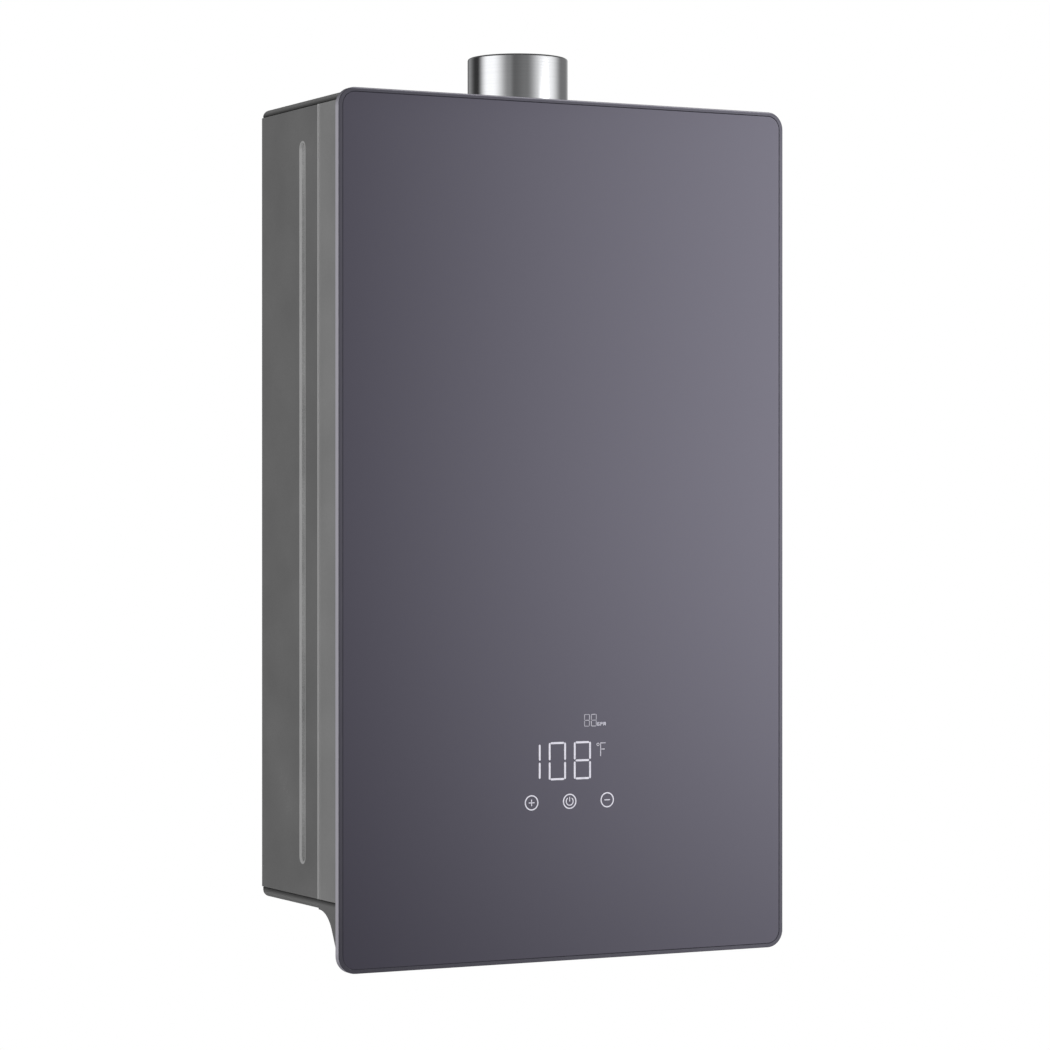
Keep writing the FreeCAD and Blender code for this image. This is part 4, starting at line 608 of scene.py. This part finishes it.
# %% Steels
SPANGLES_PER_METRE = 160

tree, shader, place = new_finish("flue_steel", 0.1, metallic=1.0)
rings = grain(tree, place, 1.2 * MM, detail=2.0, stretch=(80, 80, 1))
two_tones(tree, shader, rings, "#cbccce", "#d0d1d3")
sheen_range(tree, shader, rings, 0.06, 0.11)

tree, shader, place = new_finish("inner_steel", 0.4, metallic=0.9)
spangle = node(tree, "TexVoronoi")
spangle.inputs["Scale"].default_value = SPANGLES_PER_METRE
link(tree, place, spangle.inputs["Vector"])
two_tones(tree, shader, spangle.outputs["Color"], "#8c9093", "#a9adb0", 0.0, 1.0)
sheen_range(tree, shader, spangle.outputs["Color"], 0.3, 0.5)

tree, shader, place = new_finish("machined_steel", 0.28, metallic=1.0)
turning = grain(tree, place, 0.4 * MM, detail=2.0, stretch=(50, 50, 1))
two_tones(tree, shader, turning, "#9b9ca0", "#b9babd")
sheen_range(tree, shader, turning, 0.2, 0.38)
relief(tree, shader, turning, 0.02 * MM, 0.4)
print("steels done")

# %% Copper, brass and cast metal
THREAD_PITCH = 1.814 * MM
THREAD_TOP = -308.5 * MM

tree, shader, place = new_finish("copper", 0.3, metallic=1.0)
dulling = grain(tree, place, 20 * MM, detail=5.0)
two_tones(tree, shader, dulling, "#8a4b32", "#c98160", 0.35, 0.62)
sheen_range(tree, shader, dulling, 0.45, 0.2)

tree, shader, place = new_finish("brass", 0.3, metallic=1.0)
tool_marks = grain(tree, place, 0.5 * MM, detail=2.0, stretch=(40, 40, 1))
two_tones(tree, shader, tool_marks, "#a9874a", "#cfae6b")
sheen_range(tree, shader, tool_marks, 0.22, 0.4)
level = axes_of(tree, place)["Z"]
flank = math_node(tree, "PINGPONG", level, THREAD_PITCH / 2)
threaded = math_node(tree, "LESS_THAN", level, THREAD_TOP)
# The flank is already a height in metres
relief(tree, shader, math_node(tree, "MULTIPLY", flank, threaded), 1.0, 1.0)

tree, shader, place = new_finish("cast_metal", 0.55, metallic=0.85)
skin = grain(tree, place, 1.2 * MM, detail=4.0)
two_tones(tree, shader, skin, "#7f8285", "#999c9e")
relief(tree, shader, skin, 0.1 * MM, 0.6)
print("metals done")

# %% [markdown]
# ### Plastics, rubber and the boards
#
# The small parts are moulded. Moulded plastic has a fine spark-eroded grain, rubber is matt and a
# little uneven, and silicone is smooth and greyish red. A circuit board is green with straight tracks
# of broken length, which a pattern of long low bricks draws well enough for a board behind glass.

# %% Plastics and rubber


def moulded(slot, dark, light, roughness, grain_size, height):
    """A moulded part with an even grain."""
    tree, shader, place = new_finish(slot, roughness)
    texture = grain(tree, place, grain_size, detail=2.0)
    two_tones(tree, shader, texture, dark, light)
    relief(tree, shader, texture, height, 0.5)


moulded("black_plastic", "#1c1c1e", "#242427", 0.5, 0.6 * MM, 0.04 * MM)
moulded("white_plastic", "#c9c8c2", "#d6d5cf", 0.45, 0.6 * MM, 0.03 * MM)
moulded("rubber", "#17171a", "#212124", 0.75, 1.5 * MM, 0.08 * MM)
moulded("silicone", "#8d4a40", "#9a564b", 0.5, 4 * MM, 0.05 * MM)
print("moulded finishes done")

# %% Circuit board
TRACK_SCALE = 90
TRACK_HEIGHT = 0.04 * MM

tree, shader, place = new_finish("circuit_board", 0.35)
tracks = node(tree, "TexBrick", offset=0.37)
tracks.inputs["Scale"].default_value = TRACK_SCALE
tracks.inputs["Color1"].default_value = tone("#17502f")
tracks.inputs["Color2"].default_value = tone("#1c5d38")
tracks.inputs["Mortar"].default_value = tone("#6f7d3d")
tracks.inputs["Mortar Size"].default_value = 0.03
tracks.inputs["Brick Width"].default_value = 1.6
tracks.inputs["Row Height"].default_value = 0.15
turned = node(tree, "Mapping")
turned.inputs["Rotation"].default_value = (math.radians(90), 0, 0)
link(tree, place, turned.inputs["Vector"])
link(tree, turned.outputs[0], tracks.inputs["Vector"])
link(tree, tracks.outputs["Color"], shader.inputs["Base Color"])
relief(tree, shader, tracks.outputs["Fac"], TRACK_HEIGHT, 0.5)
print("finishes", len(finishes))

# %% [markdown]
# ### Lit print
#
# The digits and the touch icons are lit from behind through clear gaps in the printed layer. The bright
# ones glow white. The spare digits are switched off and show as faint grey lilac shapes, whose faint
# glow is painted light.

# %% Lit print


def lit_print(name, code, glow_level):
    """A thin shape that glows evenly, with a faint cloudiness from the diffuser behind it."""
    material = bpy.data.materials.new(name)
    material.use_nodes = True
    tree = material.node_tree
    shader = tree.nodes["Principled BSDF"]
    shader.inputs["Roughness"].default_value = 0.4
    cloud = grain(tree, object_place(tree), 3 * MM, detail=2.0)
    two_tones(tree, shader, cloud, code, "#dcdbe2", 0.2, 1.0)
    shader.inputs["Emission Color"].default_value = tone(code)
    shader.inputs["Emission Strength"].default_value = glow_level
    return material


bright_print = lit_print("bright_print", "#bdbbc6", 0.27)
unit_print = lit_print("unit_print", "#a5a2ae", 0.12)
# The glow of the switched-off spare figures is painted light
spare_print_painted_glow = lit_print("spare_print_painted_glow", "#85828f", 0.08)
print("print done")

# %% [markdown]
# ## Which finish each solid takes
#
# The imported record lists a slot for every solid. A solid whose shape is already right keeps it, and
# only its material is changed here. Pieces that are built further down replace their solids.

# %% Materials on the solids
slot_of = {part["node"]: part["material_slot"] for part in frame["record"]["subparts"]}
for name, solid in frame["nodes"].items():
    solid.data.materials.clear()
    solid.data.materials.append(finishes[slot_of[name]])
print("solids dressed", len(slot_of))

# %% [markdown]
# ## Turning a bmesh into a finished piece
#
# Each piece ends the same way. Its faces are turned outwards, it becomes a mesh with smooth faces and
# sharp folds, and it is set to ride on the casing. When it stands for a solid, that solid is hidden.

# %% Finishing a piece


def finish_piece(name, bm, slot, *solids, body="casing", sharp=35, material=None, flat=None):
    """The bmesh as a piece of the heater with the slot's finish, in place of these solids.

    Faces that the flat test picks are shaded as planes, so that no round beside them bends their light.
    """
    bmesh.ops.recalc_face_normals(bm, faces=bm.faces)
    mesh = bpy.data.meshes.new(name)
    bm.to_mesh(mesh)
    bm.free()
    mesh.materials.append(material or finishes[slot])
    mesh.shade_smooth()
    mesh.set_sharp_from_angle(angle=math.radians(sharp))
    for face in filter(flat, mesh.polygons) if flat else ():
        face.use_smooth = False
    piece = bpy.data.objects.new(name, mesh)
    scene.collection.objects.link(piece)
    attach(piece, body)
    if solids:
        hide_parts(*solids)
    print(name, len(mesh.polygons), "faces")
    return piece


print("pieces can be finished")

# %% Shaping a bmesh
FACE_FORWARD = Matrix.Rotation(math.radians(90), 4, "X")


def square_on(face):
    """Whether a face looks straight along an axis, as every flat sheet of the heater does."""
    return max(abs(part) for part in face.normal) > 0.9999


def rounded_panel(width, height, corner, y, z, segments=12):
    """A flat sheet that faces the room, with round corners: a square, scaled, its corners bevelled."""
    bm = bmesh.new()
    bmesh.ops.create_grid(bm, x_segments=1, y_segments=1, size=0.5)
    bmesh.ops.scale(bm, vec=(width, height, 1), verts=bm.verts)
    if corner:
        bmesh.ops.bevel(bm, geom=bm.verts[:], offset=corner, offset_type="OFFSET", segments=segments,
                        profile=0.5, affect="VERTICES", material=-1)
    bmesh.ops.transform(bm, matrix=Matrix.Translation((0, y, z)) @ FACE_FORWARD, verts=bm.verts)
    return bm


def thicken(bm, depth):
    """Gives a flat sheet that faces the room its depth, towards the wall."""
    front = bm.faces[:]
    grown = bmesh.ops.extrude_face_region(bm, geom=front, use_keep_orig=True)
    bmesh.ops.translate(bm, vec=(0, depth, 0),
                        verts=[item for item in grown["geom"] if isinstance(item, bmesh.types.BMVert)])
    return front


def join_into(bm, other):
    """Adds one bmesh to another."""
    mesh = bpy.data.meshes.new("scrap")
    other.to_mesh(mesh)
    other.free()
    bm.from_mesh(mesh)
    bpy.data.meshes.remove(mesh)


def soften(bm, edges, radius, segments=3):
    """Rounds edges like a file or a press would."""
    return bmesh.ops.bevel(bm, geom=edges, offset=radius, offset_type="OFFSET", segments=segments,
                           profile=0.5, affect="EDGES", material=-1, clamp_overlap=True)


print("shaping helpers ready")

# %% [markdown]
# ## The glass pane
#
# The pane is 4 mm thick with round corners. A glass works grinds and polishes its front edge to a small
# round, and that round is what catches a line of light along the trim. So the pane is a bevelled square
# made thick, with the front edge rounded in a second bevel. The dark seal that squeezes out round the
# pane fills most of the gap to the trim, so the pane is drawn wider by that much.

# %% Glass pane
glass_low, glass_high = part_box("glass_panel")
trim_low, trim_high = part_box("trim_frame")
TRIM_LIP = glass_low.x - trim_low.x
PANEL_CORNER = 13 * MM
FRONT_HOLD = 0.06 * MM
POLISHED_EDGE = 0.3 * MM
SEAL_FILL = 0.3 * MM

glass_front = glass_low.y + FRONT_HOLD
pane_width = glass_high.x - glass_low.x + SEAL_FILL * 2
pane_height = glass_high.z - glass_low.z + SEAL_FILL * 2
bm = rounded_panel(pane_width, pane_height, PANEL_CORNER - TRIM_LIP + SEAL_FILL, glass_front,
                   (glass_high.z + glass_low.z) / 2)
front = thicken(bm, glass_high.y - glass_front)
soften(bm, front[0].edges[:], POLISHED_EDGE, segments=4)
finish_piece("glass_pane", bm, "panel_glass", "glass_panel", sharp=50, flat=square_on)

# %% [markdown]
# ## The trim frame
#
# An aluminium frame holds the pane. It is a tray without a bottom: a narrow lip in front, a seat 5 mm
# down that carries the bonding tape, and a window. It is made by insetting: the front face is drawn in
# by the lip, pushed back to the seat, drawn in again by the flange, and the rest is cut away.

# %% Trim frame
trim_mid = (trim_low.z + trim_high.z) / 2
SEAT_DEPTH = 5 * MM
LIP_WIDTH = 3.1 * MM
FLANGE_WIDTH = 8.4 * MM
LIP_ROUND = 0.35 * MM


def inset_face(bm, face, width):
    """Draws a face in by a width and gives back the smaller face."""
    bmesh.ops.inset_region(bm, faces=[face], thickness=width, use_even_offset=True)
    return face


def push_back(bm, face, depth):
    """Pushes a face towards the wall, with walls that follow it."""
    grown = bmesh.ops.extrude_face_region(bm, geom=[face])
    fresh = [item for item in grown["geom"] if isinstance(item, bmesh.types.BMFace)][0]
    bmesh.ops.translate(bm, vec=(0, depth, 0), verts=fresh.verts)
    if face.is_valid:
        bmesh.ops.delete(bm, geom=[face], context="FACES_ONLY")
    return fresh


bm = rounded_panel(trim_high.x - trim_low.x, trim_high.z - trim_low.z, PANEL_CORNER, trim_low.y,
                   trim_mid)
front = thicken(bm, trim_high.y - trim_low.y)[0]
outer_edges = front.edges[:]
inner = inset_face(bm, front, LIP_WIDTH)
lip_edges = inner.edges[:]
inner = push_back(bm, inner, SEAT_DEPTH)
inner = inset_face(bm, inner, FLANGE_WIDTH)
back = max(bm.faces, key=lambda face: face.calc_center_median().y)
back = inset_face(bm, back, LIP_WIDTH + FLANGE_WIDTH)
bmesh.ops.bridge_loops(bm, edges=inner.edges[:] + back.edges[:])
bmesh.ops.delete(bm, geom=[inner, back], context="FACES_ONLY")
soften(bm, outer_edges + lip_edges, LIP_ROUND)
finish_piece("trim_rim", bm, "trim_metal", "trim_frame", sharp=50, flat=square_on)

# %% [markdown]
# ## The flue collar
#
# The collar is spun from steel tube: a plain neck through the casing, a step where it widens, and a rim
# turned over to a soft lip. Its half section is drawn as a few points with round ends, and one full
# spin about the flue's axis turns it into the collar.

# %% Flue collar
collar_low, collar_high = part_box("flue_collar")
flange_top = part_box("flue_flange")[1].z
flue_axis = Vector(((collar_low.x + collar_high.x) / 2, (collar_low.y + collar_high.y) / 2, 0))
FLUE_RADIUS = (collar_high.x - collar_low.x) / 2
FLUE_WALL = 0.8 * MM
FLUE_SWAGE = 0.6 * MM
RIM_ROLL = 1.5 * MM
FOOT_ROUND = 0.4 * MM
BORE_STEP = (1 * MM, 2 * MM)
# Rings this far inside each end keep the wall between them straight where it is shaded smooth
HOLD = 1.2 * MM
SAME_PLACE = 0.001 * MM


def lathe(profile, axis, steps=96):
    """Spins a closed half section, given as radius and height, about an upright axis."""
    bm = bmesh.new()
    points = [bm.verts.new((axis.x + radius, axis.y, height)) for radius, height in profile]
    edges = [bm.edges.new(pair) for pair in zip(points, points[1:] + points[:1])]
    bmesh.ops.spin(bm, geom=points + edges, cent=axis, axis=(0, 0, 1), angle=2 * math.pi, steps=steps,
                   use_merge=True, use_duplicate=False)
    bmesh.ops.remove_doubles(bm, verts=bm.verts, dist=SAME_PLACE)
    return bm


def arc(centre, radius, start, end, count):
    """Points along an arc of a half section."""
    angles = [math.radians(start + (end - start) * n / count) for n in range(count + 1)]
    return [(centre[0] + radius * math.cos(a), centre[1] + radius * math.sin(a)) for a in angles]


neck = FLUE_RADIUS - FLUE_SWAGE
bore = FLUE_RADIUS - FLUE_WALL
neck_bore = neck - FLUE_WALL
rim_top = collar_high.z
rim_bead = arc((FLUE_RADIUS - RIM_ROLL, rim_top - RIM_ROLL), RIM_ROLL, 0, 180, 10)
foot_round = arc((FLUE_RADIUS - FOOT_ROUND, flange_top + FOOT_ROUND), FOOT_ROUND, -90, 0, 5)
bm = lathe([
    (neck_bore, collar_low.z), (neck, collar_low.z), (neck, flange_top),
    *foot_round,
    (FLUE_RADIUS, flange_top + HOLD), (FLUE_RADIUS, rim_top - RIM_ROLL - HOLD),
    *rim_bead,
    (FLUE_RADIUS - RIM_ROLL * 2, rim_top - RIM_ROLL * 1.6), (bore, rim_top - RIM_ROLL * 3),
    (bore, flange_top + BORE_STEP[1]), (neck_bore, flange_top + BORE_STEP[0]),
], flue_axis)
finish_piece("flue_tube", bm, "flue_steel", "flue_collar", sharp=40)

# %% [markdown]
# ## Folded sheet metal
#
# The casing, the cover and the caps have the right form as solids, but a real press leaves a small
# round on every fold, and that round is what draws a bright line along it. Each of them is copied, its
# doubled vertices are merged, flat faces are joined, and a Bevel modifier rounds what is left sharp.
# On the bottom cap the folds beside a sliver of a face stay sharp, where a round would be too wide. The
# cover's rear edge is drawn up to the hem of the casing, as a real cover is pulled tight by its screws.

# %% Folded sheets
FOLD_ROUND = 0.45 * MM
MERGE_REACH = 0.01 * MM
FLAT_ANGLE = math.radians(0.5)
SHARP_FOLD = math.radians(40)
REAR_EDGE = 0.1 * MM
SLIVER = 15 * MM * MM


def folded_sheet(name, solid, radius=FOLD_ROUND, pull=0.0, sliver=0.0):
    """A copy of a sheet-metal solid with round folds, its rear edge pulled back by a distance."""
    bm = bmesh.new()
    bm.from_mesh(frame["nodes"][solid].data)
    bmesh.ops.remove_doubles(bm, verts=bm.verts, dist=MERGE_REACH)
    bmesh.ops.dissolve_limit(bm, angle_limit=FLAT_ANGLE, verts=bm.verts, edges=bm.edges)
    if pull:
        rear = max(vert.co.y for vert in bm.verts) - REAR_EDGE
        bmesh.ops.translate(bm, vec=(0, pull, 0), verts=[v for v in bm.verts if v.co.y > rear])
    weight = bm.edges.layers.float.new("bevel_weight_edge")
    for edge in bm.edges:
        beside = [face.calc_area() for face in edge.link_faces]
        if min(beside) > sliver and edge.calc_face_angle(0) > SHARP_FOLD:
            edge[weight] = 1
    piece = finish_piece(name, bm, slot_of[solid], solid, sharp=30, flat=square_on)
    bevel = piece.modifiers.new("fold", "BEVEL")
    bevel.width = radius
    bevel.segments = 2
    bevel.limit_method = "WEIGHT"
    bevel.use_clamp_overlap = False
    bevel.harden_normals = True
    return piece


folded_sheet("casing_pressing", "rear_casing", 0.35 * MM)
folded_sheet("cover_pressing", "front_cover", 0.15 * MM, pull=0.35 * MM)
folded_sheet("top_lid", "top_cap")
folded_sheet("bottom_lid", "bottom_cap", sliver=SLIVER)

# %% [markdown]
# ## Screws that hold the caps
#
# Eight pan-head screws hold the two caps, four each. A head is a low dome with a cross cut into it. One
# head is a spun half section, and a cross of two bars, a little darker for the shadow in the slots,
# lies in its crown. Copies of it go to the eight places that the solid model gives.

# %% Cap screws
SCREW_ACROSS = 150 * MM
# Which cap, 1 above and -1 below, and how far out from the wall its screws stand
SCREW_DEPTHS = ((1, (-26 * MM, -123.5 * MM)), (-1, (-26 * MM, -81 * MM)))
SCREW_SPOTS = [(side * SCREW_ACROSS, depth, cap) for side in (-1, 1)
               for cap, depths in SCREW_DEPTHS for depth in depths]
HEAD_RADIUS = 3.75 * MM
HEAD_HEIGHT = 1.55 * MM
SHEET_LEVEL = 295.5 * MM
SHANK_RADIUS = 1.9 * MM
SHANK_LENGTH = 6 * MM
SLOT_SIZE = (3.6 * MM, 0.8 * MM, 0.3 * MM)
SLOT_PROUD = 0.01 * MM
SLOT_TURNS = (30, 120)
# The right-hand and left-hand screws were driven home at other turns
TURNS_PER_METRE = 1000
HEAD_RIM = 0.5 * MM
TIP = 0.02 * MM

dome = [(HEAD_RADIUS * math.cos(math.radians(climb)),
         HEAD_RIM + (HEAD_HEIGHT - HEAD_RIM) * math.sin(math.radians(climb)))
        for climb in (0, 20, 40, 60, 80)]
screw_section = [(TIP, -SHANK_LENGTH), (SHANK_RADIUS, -SHANK_LENGTH), (SHANK_RADIUS, 0),
                 (HEAD_RADIUS, 0), *dome, (TIP, HEAD_HEIGHT)]
slot_shadow_bar = (Matrix.Translation((0, 0, HEAD_HEIGHT - SLOT_SIZE[2] / 2 + SLOT_PROUD))
            @ Matrix.Diagonal((*SLOT_SIZE, 1)))
heads = bmesh.new()
slot_shadows = bmesh.new()
for across, depth, cap in SCREW_SPOTS:
    lift = Matrix.Translation((across, depth, cap * SHEET_LEVEL)) @ Matrix.Diagonal((1, 1, cap, 1))
    head = lathe(screw_section, Vector((0, 0, 0)), steps=32)
    bmesh.ops.transform(head, matrix=lift, verts=head.verts)
    join_into(heads, head)
    for turn in SLOT_TURNS:
        slot = bmesh.new()
        spin = Matrix.Rotation(math.radians(turn + across * TURNS_PER_METRE), 4, "Z")
        bmesh.ops.create_cube(slot, size=1, matrix=lift @ spin @ slot_shadow_bar)
        join_into(slot_shadows, slot)
finish_piece("cap_screw_heads", heads, "machined_steel", "cap_screws")
# The dark bars are painted shadow in the slots of the screw heads
finish_piece("cap_screw_slot_shadows", slot_shadows, "black_plastic")

# %% [markdown]
# ## Digits behind the glass
#
# The display shows a temperature in seven-segment digits and three touch icons below it. Each stroke is
# a thin bar with cut corners. All of them lie a few hundredths of a millimetre proud of the pane, where
# the eye sees them as part of it.

# %% Print helpers
PRINT_FRONT = glass_low.y + 0.01 * MM
PRINT_DEPTH = 0.05 * MM
RING_STEPS = 48
LEVEL_NORMAL = 0.01
SAME_AREA = 1e-6 * MM * MM


def bar(bm, x, z, width, height, cut):
    """A thin upright or level stroke with cut corners, centred on a point in millimetres."""
    stroke = rounded_panel(width * MM, height * MM, cut * MM, PRINT_FRONT, 0, segments=1)
    thicken(stroke, PRINT_DEPTH)
    bmesh.ops.translate(stroke, vec=(x * MM, 0, z * MM), verts=stroke.verts)
    join_into(bm, stroke)


def thin_ring(bm, x, z, radius, line, start=0, sweep=360):
    """A flat ring, or a stretch of one, that faces the room. Angles run from the right, upwards."""
    ring = bmesh.new()
    bmesh.ops.create_grid(ring, x_segments=1, y_segments=1, size=0.5)
    bmesh.ops.scale(ring, vec=(line * MM, PRINT_DEPTH, 1), verts=ring.verts)
    bmesh.ops.translate(ring, vec=(radius * MM, PRINT_FRONT + PRINT_DEPTH / 2, 0), verts=ring.verts)
    turn = Matrix.Rotation(math.radians(-start), 3, "Y")
    bmesh.ops.rotate(ring, cent=(0, 0, 0), matrix=turn, verts=ring.verts)
    section = ring.verts[:] + ring.edges[:] + ring.faces[:]
    bmesh.ops.spin(ring, geom=section, cent=(0, 0, 0), axis=(0, -1, 0), angle=math.radians(sweep),
                   steps=RING_STEPS, use_merge=sweep == 360, use_duplicate=False)
    if sweep == 360:
        section_area = line * MM * PRINT_DEPTH
        inside = [face for face in ring.faces
                  if abs(face.normal.y) < LEVEL_NORMAL and len(face.verts) == 4
                  and abs(face.calc_area() - section_area) < SAME_AREA]
        bmesh.ops.delete(ring, geom=inside, context="FACES_ONLY")
    bmesh.ops.translate(ring, vec=(x * MM, 0, z * MM), verts=ring.verts)
    join_into(bm, ring)


print("print lies at", PRINT_FRONT)

# %% [markdown]
# A seven-segment figure has three level strokes and four upright ones. The uprights stop short of each
# other, and the level ones stop short of the uprights. Those gaps are shares of a stroke's line.

# %% Seven-segment figures
STROKE_GAP = 0.45
STROKE_TUCK = 0.35
LEVEL_TRIM = 1.9
CORNER_CUT = 0.42
# Strokes that are lit for each figure
STROKES = {
    "0": ("top", "upper_left", "upper_right", "lower_left", "lower_right", "foot"),
    "1": ("upper_right", "lower_right"),
    "8": ("top", "upper_left", "upper_right", "middle", "lower_left", "lower_right", "foot"),
}


def digit(bm, figure, right, top, width, height, line):
    """A seven-segment figure, placed by its right and top edges in millimetres."""
    tuck = line * STROKE_TUCK
    tall = height / 2 - line * STROKE_GAP - tuck
    upper = top - tuck - tall / 2
    lower = top - height + tuck + tall / 2
    left_x = right - width + line / 2
    right_x = right - line / 2
    middle_x = right - width / 2
    level = width - line * LEVEL_TRIM
    places = {
        "top": (middle_x, top - line / 2, level, line),
        "middle": (middle_x, top - height / 2, level, line),
        "foot": (middle_x, top - height + line / 2, level, line),
        "upper_left": (left_x, upper, line, tall),
        "upper_right": (right_x, upper, line, tall),
        "lower_left": (left_x, lower, line, tall),
        "lower_right": (right_x, lower, line, tall),
    }
    for stroke in STROKES[figure]:
        bar(bm, *places[stroke], line * CORNER_CUT)


print("figures", sorted(STROKES))

# %% [markdown]
# The big figures read 108, because the photograph shows that temperature. Widths and places are in
# millimetres from the middle of the body. The 1 is a little shorter than the others.

# %% Big digits and icons
DIGIT_TOP = -176.6
DIGIT_WIDTH = 14.4
DIGIT_HEIGHT = 28.2
DIGIT_LINE = 1.5
# Each figure, its right edge and how much shorter it is at either end
BIG_FIGURES = (("1", -22.8, 0.9), ("0", -1.6, 0), ("8", 19.4, 0))
ICON_SPOTS = {"plus": -30.3, "power": 1.5, "minus": 33.2}
ICON_LEVEL = -220.8
ICON_RADIUS = 5.2
ICON_LINE = 0.9
SIGN_LENGTH = 4.8
SIGN_LINE = 0.7
SIGN_CUT = 0.15
POWER_RADIUS = 2.9
POWER_STROKE = 3.4
POWER_RAISE = 1.6

bm = bmesh.new()
for figure, right, short in BIG_FIGURES:
    digit(bm, figure, right, DIGIT_TOP - short, DIGIT_WIDTH, DIGIT_HEIGHT - short * 2, DIGIT_LINE)
for spot in ICON_SPOTS.values():
    thin_ring(bm, spot, ICON_LEVEL, ICON_RADIUS, ICON_LINE)
bar(bm, ICON_SPOTS["plus"], ICON_LEVEL, SIGN_LENGTH, SIGN_LINE, SIGN_CUT)
bar(bm, ICON_SPOTS["plus"], ICON_LEVEL, SIGN_LINE, SIGN_LENGTH, SIGN_CUT)
bar(bm, ICON_SPOTS["minus"], ICON_LEVEL, SIGN_LENGTH, SIGN_LINE, SIGN_CUT)
thin_ring(bm, ICON_SPOTS["power"], ICON_LEVEL, POWER_RADIUS, SIGN_LINE, start=125, sweep=290)
bar(bm, ICON_SPOTS["power"], ICON_LEVEL + POWER_RAISE, SIGN_LINE, POWER_STROKE, SIGN_CUT)
finish_piece("lit_figures", bm, "panel_glass", material=bright_print)

# %% Spare figures and the temperature's unit
SPARE_TOP = -156.6
SPARE_WIDTH = 4.7
SPARE_HEIGHT = 9.2
SPARE_LINE = 0.55
DEGREE_SPOT = (25.4, -179.3)
DEGREE_RADIUS = 0.95
DEGREE_LINE = 0.45
# The strokes of the F: centre across, centre up, width and height
UNIT_STROKES = ((27.6, -183.0, SIGN_LINE, 10.2), (29.7, -178.3, 4.2, SIGN_LINE),
                (29.4, -182.9, 3.4, SIGN_LINE))

bm = bmesh.new()
for right in (18.4, 24.2):
    digit(bm, "8", right, SPARE_TOP, SPARE_WIDTH, SPARE_HEIGHT, SPARE_LINE)
finish_piece("spare_figures", bm, "panel_glass", material=spare_print_painted_glow)

bm = bmesh.new()
thin_ring(bm, *DEGREE_SPOT, DEGREE_RADIUS, DEGREE_LINE)
for stroke in UNIT_STROKES:
    bar(bm, *stroke, SIGN_CUT)
finish_piece("unit_mark", bm, "panel_glass", material=unit_print)

# %% [markdown]
# The flow unit beside the small figures is GPM, in letters two millimetres tall.

# %% Flow unit
LETTER_TOP = -163.0
LETTER_HEIGHT = 2.2
LETTER_LINE = 0.45
LETTER_CUT = 0.05
# Each letter, its left edge and its width
LETTER_SPOTS = (("G", 25.0, 1.4), ("P", 27.6, 1.4), ("M", 30.0, 1.7))
# Each letter's strokes: centre across, centre up, width and height, as shares of the letter's box
LETTERS = {
    "G": ((0.5, 1, 1, 0), (0, 0.5, 0, 1), (0.5, 0, 1, 0), (1, 0.25, 0, 0.5), (0.75, 0.5, 0.5, 0)),
    "P": ((0.5, 1, 1, 0), (0, 0.5, 0, 1), (1, 0.75, 0, 0.5), (0.5, 0.5, 1, 0)),
    "M": ((0.5, 1, 1, 0), (0, 0.5, 0, 1), (0.5, 0.6, 0, 0.8), (1, 0.5, 0, 1)),
}

bm = bmesh.new()
for letter, left, wide in LETTER_SPOTS:
    for across, up, long, tall in LETTERS[letter]:
        bar(bm, left + across * wide, LETTER_TOP - LETTER_HEIGHT + up * LETTER_HEIGHT,
            long * wide + LETTER_LINE, tall * LETTER_HEIGHT + LETTER_LINE, LETTER_CUT)
finish_piece("flow_unit", bm, "panel_glass", material=bright_print)

# %% Done
print("scene done")
